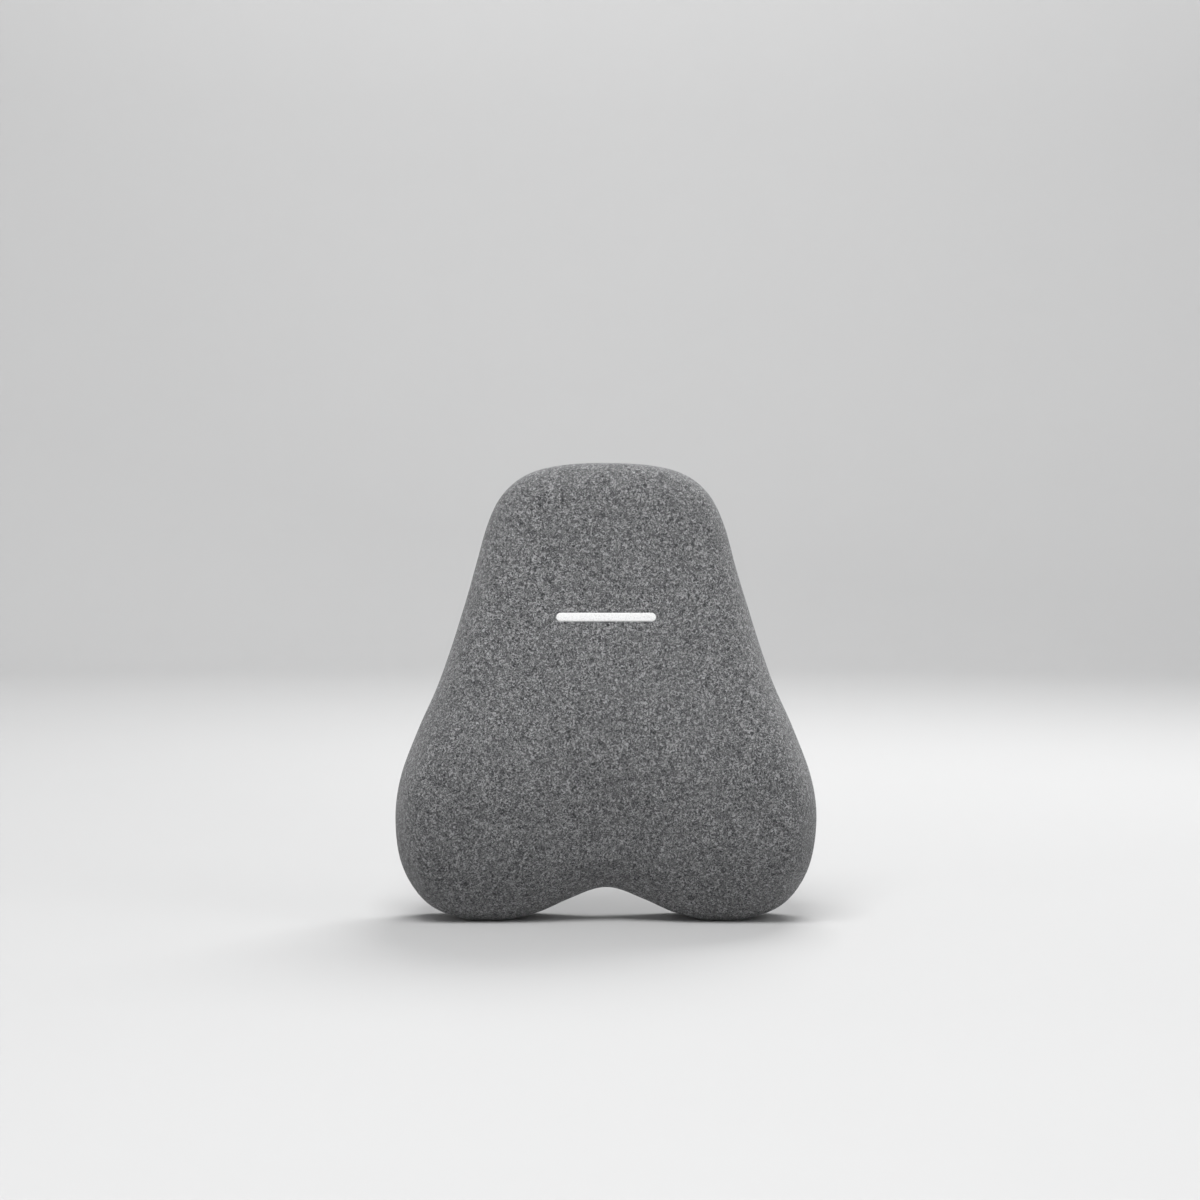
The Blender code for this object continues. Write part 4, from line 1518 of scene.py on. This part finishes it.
@dataclass
class Strap:
    """Webbing strap, sewn down under patches at both ends and held by a loop."""

    height: float
    back: float
    width: float = 0.030
    thickness: float = 0.0015
    gap: float = 0.0003
    reach: float = 0.132
    patch: float = 0.026
    lift: float = 0.0012
    buckle_middle: float = 0.00555
    socket_bar: float = -0.0292
    ladder_bar: float = 0.0178
    plug_end: float = 0.031
    tail_end: float = 0.104
    keeper_place: float = 0.084
    keeper_length: float = 0.009

    @staticmethod
    def arc(centre: tuple[float, float], radius: float, start: float, stop: float,
            steps: int) -> list[tuple[float, float]]:
        """Places on an arc.

        Args:
            centre: Its middle.
            radius: Its radius.
            start: First angle in degrees.
            stop: Last angle in degrees.
            steps: How many steps it takes.

        Returns:
            Places in x and depth.
        """
        angles = np.radians(np.linspace(start, stop, steps + 1))
        return [(centre[0] + radius * math.cos(a), centre[1] + radius * math.sin(a)) for a in angles]

    def strip(self, path: Sequence[tuple[float, float]]) -> tuple[np.ndarray, list[Face]]:
        """Webbing along a path.

        Args:
            path: Places in x and depth off the back.

        Returns:
            Points and faces.
        """
        line = walk(np.array(path), 0.0016)
        smooth = line.copy()
        for _ in range(2):
            smooth[1:-1] = (smooth[:-2] + 2 * smooth[1:-1] + smooth[2:]) / 4
        along = np.gradient(smooth, axis=0)
        along /= np.linalg.norm(along, axis=1)[:, None]
        across = np.column_stack((-along[:, 1], along[:, 0]))
        half, side = self.width / 2, self.thickness / 2
        ends = [(half - side * (1 - math.cos(a)), side * math.sin(a))
                for a in np.radians((-90, -45, 0, 45, 90))]
        top = [(z, side) for z in np.linspace(half - side, -half + side, 9)[1:-1]]
        section = ends + top + [(-z, -y) for z, y in ends] + [(-z, -y) for z, y in top]
        rings = []
        for place, push in zip(smooth, across):
            rings.append([(place[0] + push[0] * y, self.back + place[1] + push[1] * y, self.height + z)
                          for z, y in section])
        rings = np.array(rings)
        table = np.arange(rings.shape[0] * rings.shape[1]).reshape(rings.shape[:2])
        faces = ring_faces(table) + [tuple(table[0][::-1]), tuple(table[-1])]
        return rings.reshape(-1, 3), faces

    def build(self) -> None:
        """Make the two straps, their patches, the loop and the stitching."""
        flat = self.gap + self.thickness / 2
        lifted = self.lift + flat
        doubled = lifted + self.thickness + self.gap
        bar = 0.0012
        turn = math.sqrt(2) * bar + self.gap + self.thickness / 2
        wide = math.hypot(bar, 0.0016) + self.gap + self.thickness / 2
        sewn = self.reach - self.patch
        left = [(-self.reach, flat), (-sewn, flat), (-sewn + 0.010, lifted),
                (self.socket_bar - 0.010, lifted)]
        left += self.arc((self.socket_bar, self.buckle_middle), turn, -90.0, 100.0, 14)
        left += [(self.socket_bar - 0.008, self.buckle_middle + 0.0010), (self.socket_bar - 0.014, doubled),
                 (self.socket_bar - 0.036, doubled)]
        item = make_piece("strap_webbing_left", *self.strip(left), WEBBING, Slot.WEBBING)
        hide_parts("strap_left")
        right = [(self.reach, flat), (sewn + 0.0015, flat), (sewn - 0.0035, lifted),
                 (self.ladder_bar + 0.004, lifted)]
        right += self.arc((self.ladder_bar, self.buckle_middle), wide, 250.0, 90.0, 14)
        right += [(self.plug_end + 0.0010, self.buckle_middle + wide), (self.plug_end + 0.009, doubled),
                  (self.tail_end, doubled)]
        item = make_piece("strap_webbing_right", *self.strip(right), WEBBING, Slot.WEBBING, body=None)
        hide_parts("strap_right")
        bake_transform(item)
        self.tack("strap_fold_tack", self.socket_bar - 0.032, self.socket_bar - 0.018,
                  doubled + self.thickness / 2)
        for name, side in (("left", -1), ("right", 1)):
            self.anchor(name, side)
        self.loop(lifted, doubled)
        LOG.info("strap: %.0f mm webbing across the back", 2000 * self.reach)

    def tack(self, name: str, low: float, high: float, depth: float, inset: float = 0.003) -> None:
        """A sewn box with a cross in it.

        Args:
            name: The piece's name.
            low: Its first edge along the strap.
            high: Its last edge.
            depth: How far off the back the thread lies.
            inset: How far inside the webbing's edges it is.
        """
        bottom, top = self.height - self.width / 2 + inset, self.height + self.width / 2 - inset
        corners = [(low, bottom), (high, bottom), (high, top), (low, top), (low, bottom), (high, top)]
        paths = [corners[:5], [corners[0], corners[2]], [corners[3], corners[1]]]
        parts = [stitches(np.array([(x, self.back + depth, z) for x, z in path]), 0.0026, 0.74, 0.00022)
                 for path in paths]
        make_piece(name, *gather(parts), THREAD, Slot.WEBBING)

    def anchor(self, name: str, side: int) -> None:
        """One patch over a strap end, with its stitching.

        Args:
            name: Left or right.
            side: -1 or 1 for the same.
        """
        low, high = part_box("anchor_patch_" + name)
        centre = np.array(((low[0] + high[0]) / 2, (low[2] + high[2]) / 2))
        half = np.array(((high[0] - low[0]) / 2, (high[2] - low[2]) / 2))
        radius = 0.004
        loop = []
        for sx, sz, begin in ((1, 1, 0), (-1, 1, 90), (-1, -1, 180), (1, -1, 270)):
            for a in np.radians(np.linspace(begin, begin + 90, 6)):
                loop.append((sx * (half[0] - radius) + radius * math.cos(a),
                             sz * (half[1] - radius) + radius * math.sin(a)))
        outline = walk(np.array(loop + loop[:1]) + centre, 0.0016)[:-1]
        aim = CushionForm.inward(outline)
        loops = [outline] + [outline + aim * inset for inset in (0.0004, 0.0010, 0.0018, 0.0026)]
        flat, faces = flat_fill(loops, 0.0018)

        def height_at(places: np.ndarray) -> np.ndarray:
            """Depth of the patch's outer side.

            Args:
                places: Flat places in x and z.

            Returns:
                One depth for each place.
            """
            over = np.abs(places[:, 1] - self.height)
            hump = 1.0 - eased(over, self.width / 2 - 0.0002, self.width / 2 + 0.0024)
            away = distance_to(places, outline)
            edge = np.sqrt(np.clip(away / 0.0009, 0.0, 1.0))
            seam = np.exp(-((away - 0.0024) / 0.0007) ** 2)
            rise = 0.0009 + (self.thickness + 2 * self.gap - 0.0001) * hump
            return self.back + self.gap + rise - 0.0005 * (1 - edge) - 0.00022 * seam

        top = height_at(flat)
        over = np.abs(flat[:, 1] - self.height)
        hump = 1.0 - eased(over, self.width / 2 - 0.0002, self.width / 2 + 0.0020)
        bottom = self.back + 0.00025 + (self.thickness + 0.0004) * hump
        bottom = np.minimum(bottom, top - 0.00025)
        points, faces = thick_sheet(flat, faces, top, bottom)
        item = make_piece("strap_patch_" + name, points, faces, BACK, Slot.BACK)
        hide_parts("anchor_patch_" + name)
        row = outline + aim * 0.0024
        row = np.vstack((row, row[:1]))
        frame_row = np.column_stack((row[:, 0], height_at(row), row[:, 1]))
        inner = half - 0.0050
        cross = []
        for start, stop in (((-1, -1), (1, 1)), ((-1, 1), (1, -1))):
            line = walk(np.array([centre + inner * start, centre + inner * stop]), 0.0012)
            cross.append(np.column_stack((line[:, 0], height_at(line), line[:, 1])))
        parts = [stitches(path, 0.0026, 0.74, 0.00022) for path in (frame_row, *cross)]
        make_piece("strap_patch_stitching_" + name, *gather(parts), THREAD, Slot.BACK)

    def loop(self, lifted: float, doubled: float) -> None:
        """Woven loop that holds the strap's spare end.

        Args:
            lifted: Depth of the strap's middle off the back.
            doubled: Depth of the spare end's middle.
        """
        low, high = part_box("strap_keeper")
        wall, radius = 0.0009, 0.0012
        depth_low, depth_high = low[1] + wall / 2, high[1] - wall / 2
        z_low, z_high = low[2] + wall / 2, high[2] - wall / 2
        line: list[tuple[float, float]] = []
        near, far = depth_low + radius, depth_high - radius
        foot, head = z_low + radius, z_high - radius
        for y, z, begin in ((far, head, 0), (near, head, 90), (near, foot, 180), (far, foot, 270)):
            for a in np.radians(np.linspace(begin, begin + 90, 6)):
                line.append((y + radius * math.cos(a), z + radius * math.sin(a)))
        path = walk(np.array(line + line[:1]), 0.0012)[:-1]
        along = np.roll(path, -1, axis=0) - np.roll(path, 1, axis=0)
        along /= np.linalg.norm(along, axis=1)[:, None]
        out = np.column_stack((along[:, 1], -along[:, 0]))
        half = self.keeper_length / 2
        section = [(half, 0.0), (half - 0.0002, 0.8), (half - 0.0007, 1.0), (0.0, 1.0),
                   (-half + 0.0007, 1.0), (-half + 0.0002, 0.8), (-half, 0.0), (-half + 0.0002, -0.8),
                   (0.0, -1.0), (half - 0.0002, -0.8)]
        rings = np.array([[(self.keeper_place + x, place[0] + push[0] * t * wall / 2,
                            place[1] + push[1] * t * wall / 2) for x, t in section]
                          for place, push in zip(path, out)])
        table = np.arange(rings.shape[0] * rings.shape[1]).reshape(rings.shape[:2])
        faces = ring_faces(np.vstack((table, table[:1])))
        item = make_piece("strap_loop", rings.reshape(-1, 3), faces, WEBBING, Slot.WEBBING, Body.KEEPER)
        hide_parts("strap_keeper")


@dataclass
class CareLabel:
    """Blank satin label sewn to the lower back panel along its top edge."""

    lift: float = 0.0022
    thickness: float = 0.0003

    def build(self) -> None:
        """Make the label and its stitches."""
        low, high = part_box("care_label")
        rows, columns = 25, 15
        top = np.zeros((rows, columns, 3))
        for row, v in enumerate(np.linspace(0.0, 1.0, rows)):
            for column, u in enumerate(np.linspace(0.0, 1.0, columns)):
                free = (1.0 - v) ** 1.7
                curl = free * self.lift * (0.45 + 0.75 * (u - 0.4) ** 2 + 0.25 * u)
                wave = 0.00012 * math.sin(5 * u + 3 * v)
                top[row, column] = (low[0] + (high[0] - low[0]) * u,
                                    low[1] + self.thickness + 0.00005 + curl + wave,
                                    low[2] + (high[2] - low[2]) * v)
        bottom = top - (0.0, self.thickness, 0.0)
        table = np.arange(rows * columns).reshape(rows, columns)
        faces = ring_faces(table, closed=False)
        faces += [face[::-1] for face in ring_faces(table + table.size, closed=False)]
        rim = np.concatenate((table[0], table[1:, -1], table[-1, -2::-1], table[-2:0:-1, 0]))
        faces += ring_faces(np.vstack((rim, rim + table.size)))
        item = make_piece("care_label_cloth", np.vstack((top.reshape(-1, 3), bottom.reshape(-1, 3))), faces,
                          LABEL, Slot.LABEL)
        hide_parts("care_label")
        level = high[2] - 0.0025
        path = np.array([(low[0] + 0.0008, low[1] + self.thickness + 0.0001, level),
                         (high[0] - 0.0008, low[1] + self.thickness + 0.0001, level)])
        make_piece("care_label_stitching", *stitches(path, 0.0024, 0.72, 0.00020), PALE_THREAD, Slot.LABEL)
        LOG.info("care label: %.0f x %.0f mm", 1000 * (high[0] - low[0]), 1000 * (high[2] - low[2]))


@dataclass
class Filling:
    """Foam core in its liner, seen only through the open zip."""

    fill: float = 1.0

    def build(self) -> None:
        """Dress both."""
        keep_node("foam_core", FOAM, 0.0)
        keep_node("inner_liner", LINER, 0.0)


@dataclass
class Buckle:
    """Side-release buckle: socket, plug and its two sprung arms."""

    edge: float = 0.0008

    def build(self) -> None:
        """Dress the moulded parts."""
        for name in ("buckle_socket", "buckle_plug", "plug_arm_upper", "plug_arm_lower"):
            keep_node(name, PLASTIC, self.edge)


@dataclass
class Studio:
    """Pale floor that curves up into a backdrop, soft lights and the camera."""

    sweep: float = 4.2
    curve: float = 1.6
    backdrop: float = 3.6
    sides: int = 96
    room: float = 0.28
    key: float = 86.0
    fill: float = 10.0
    back_key: float = 78.0
    wall: float = 95.0
    distance: float = 2.80
    lens: float = 84.7
    elevation: float = 2.0
    aim: tuple[float, float, float] = (-0.006, 0.0, 0.318)

    def light(self, name: str, place: tuple[float, float, float], size: tuple[float, float],
              power: float, toward: tuple[float, float, float] = (0.0, 0.0, 0.22)) -> None:
        """One soft light.

        Args:
            name: Its name.
            place: Where it hangs.
            size: Its width and height.
            power: Its strength in watts.
            toward: What it faces.
        """
        lamp = bpy.data.lights.new(name, "AREA")
        lamp.shape = "RECTANGLE"
        lamp.size, lamp.size_y = size
        lamp.energy = power
        item = bpy.data.objects.new(name, lamp)
        item.location = place
        item.rotation_euler = (Vector(toward) - Vector(place)).to_track_quat("-Z", "Y").to_euler()
        bpy.context.scene.collection.objects.link(item)

    def build(self) -> None:
        """Set up the studio."""
        steps = np.radians(np.linspace(0.0, 90.0, 13))[1:]
        profile = [(1.2, 0.0), (2.4, 0.0), (self.sweep, 0.0)]
        profile += [(self.sweep + self.curve * math.sin(a), self.curve * (1 - math.cos(a))) for a in steps]
        profile += [(self.sweep + self.curve, self.backdrop)]
        turns = np.arange(self.sides) * math.tau / self.sides
        rings = np.array([[(r * math.cos(a), r * math.sin(a), z) for a in turns] for r, z in profile])
        table = np.arange(rings.shape[0] * rings.shape[1]).reshape(rings.shape[:2])
        floor = make_piece("studio_floor", rings.reshape(-1, 3), ring_faces(table) + [tuple(table[0])],
                           StudioPaper("pale_paper"), body=None)
        floor.location.z = -0.0002
        world = bpy.data.worlds.new("soft_room")
        world.use_nodes = True
        ground = world.node_tree.nodes["Background"]
        ground.inputs["Color"].default_value = (0.97, 0.98, 1.0, 1.0)
        ground.inputs["Strength"].default_value = self.room
        bpy.context.scene.world = world
        bpy.context.scene.view_settings.view_transform = "Standard"
        self.light("key", (-0.30, -1.45, 2.90), (2.0, 1.1), self.key)
        self.light("fill", (2.2, -1.0, 1.9), (1.2, 1.2), self.fill)
        self.light("back_key", (0.7, 1.9, 2.6), (2.0, 1.1), self.back_key)
        for number, turn in enumerate((0, 90, 180, 270)):
            a = math.radians(turn)
            self.light(f"wall_{number}", (3.0 * math.sin(a), 3.0 * math.cos(a), 3.4), (3.0, 0.8), self.wall,
                       (5.8 * math.sin(a), 5.8 * math.cos(a), 1.3))
        angle = math.radians(self.elevation)
        camera = bpy.data.cameras.new("studio_camera")
        camera.lens = self.lens
        camera.sensor_width = 36.0
        camera.clip_start, camera.clip_end = 0.05, 60.0
        camera.dof.use_dof = False
        item = bpy.data.objects.new("studio_camera", camera)
        aim = Vector(self.aim)
        item.location = aim + Vector((0.0, -math.cos(angle), math.sin(angle))) * self.distance
        item.rotation_euler = (aim - item.location).to_track_quat("-Z", "Y").to_euler()
        bpy.context.scene.collection.objects.link(item)
        bpy.context.scene.camera = item


def main() -> None:
    """Build every sub-assembly in order."""
    logging.basicConfig(level=logging.INFO, format="%(name)s: %(message)s")
    form = CushionForm.of_frame()
    Studio().build()
    Filling().build()
    cover = KnitCover(form)
    cover.build()
    FrontMark(cover).build()
    tape_low, tape_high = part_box("zip_tape_upper")
    coil_low, coil_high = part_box("zip_coil_upper")
    half_tape, half_coil = float(tape_high[0]), float(coil_high[0])
    zip_height = float(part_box("zip_tape_lower")[1][2] + tape_low[2]) / 2
    lip = float(tape_high[2]) - zip_height + 0.0003
    BackPanels(form, zip_height, half_tape + 0.0003, lip).build()
    Zip(zip_height, form.back, half_tape, half_coil).build()
    strap_low, strap_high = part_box("strap_left")
    Strap(float(strap_low[2] + strap_high[2]) / 2, form.back).build()
    Buckle().build()
    CareLabel().build()


if __name__ == "__main__":
    main()
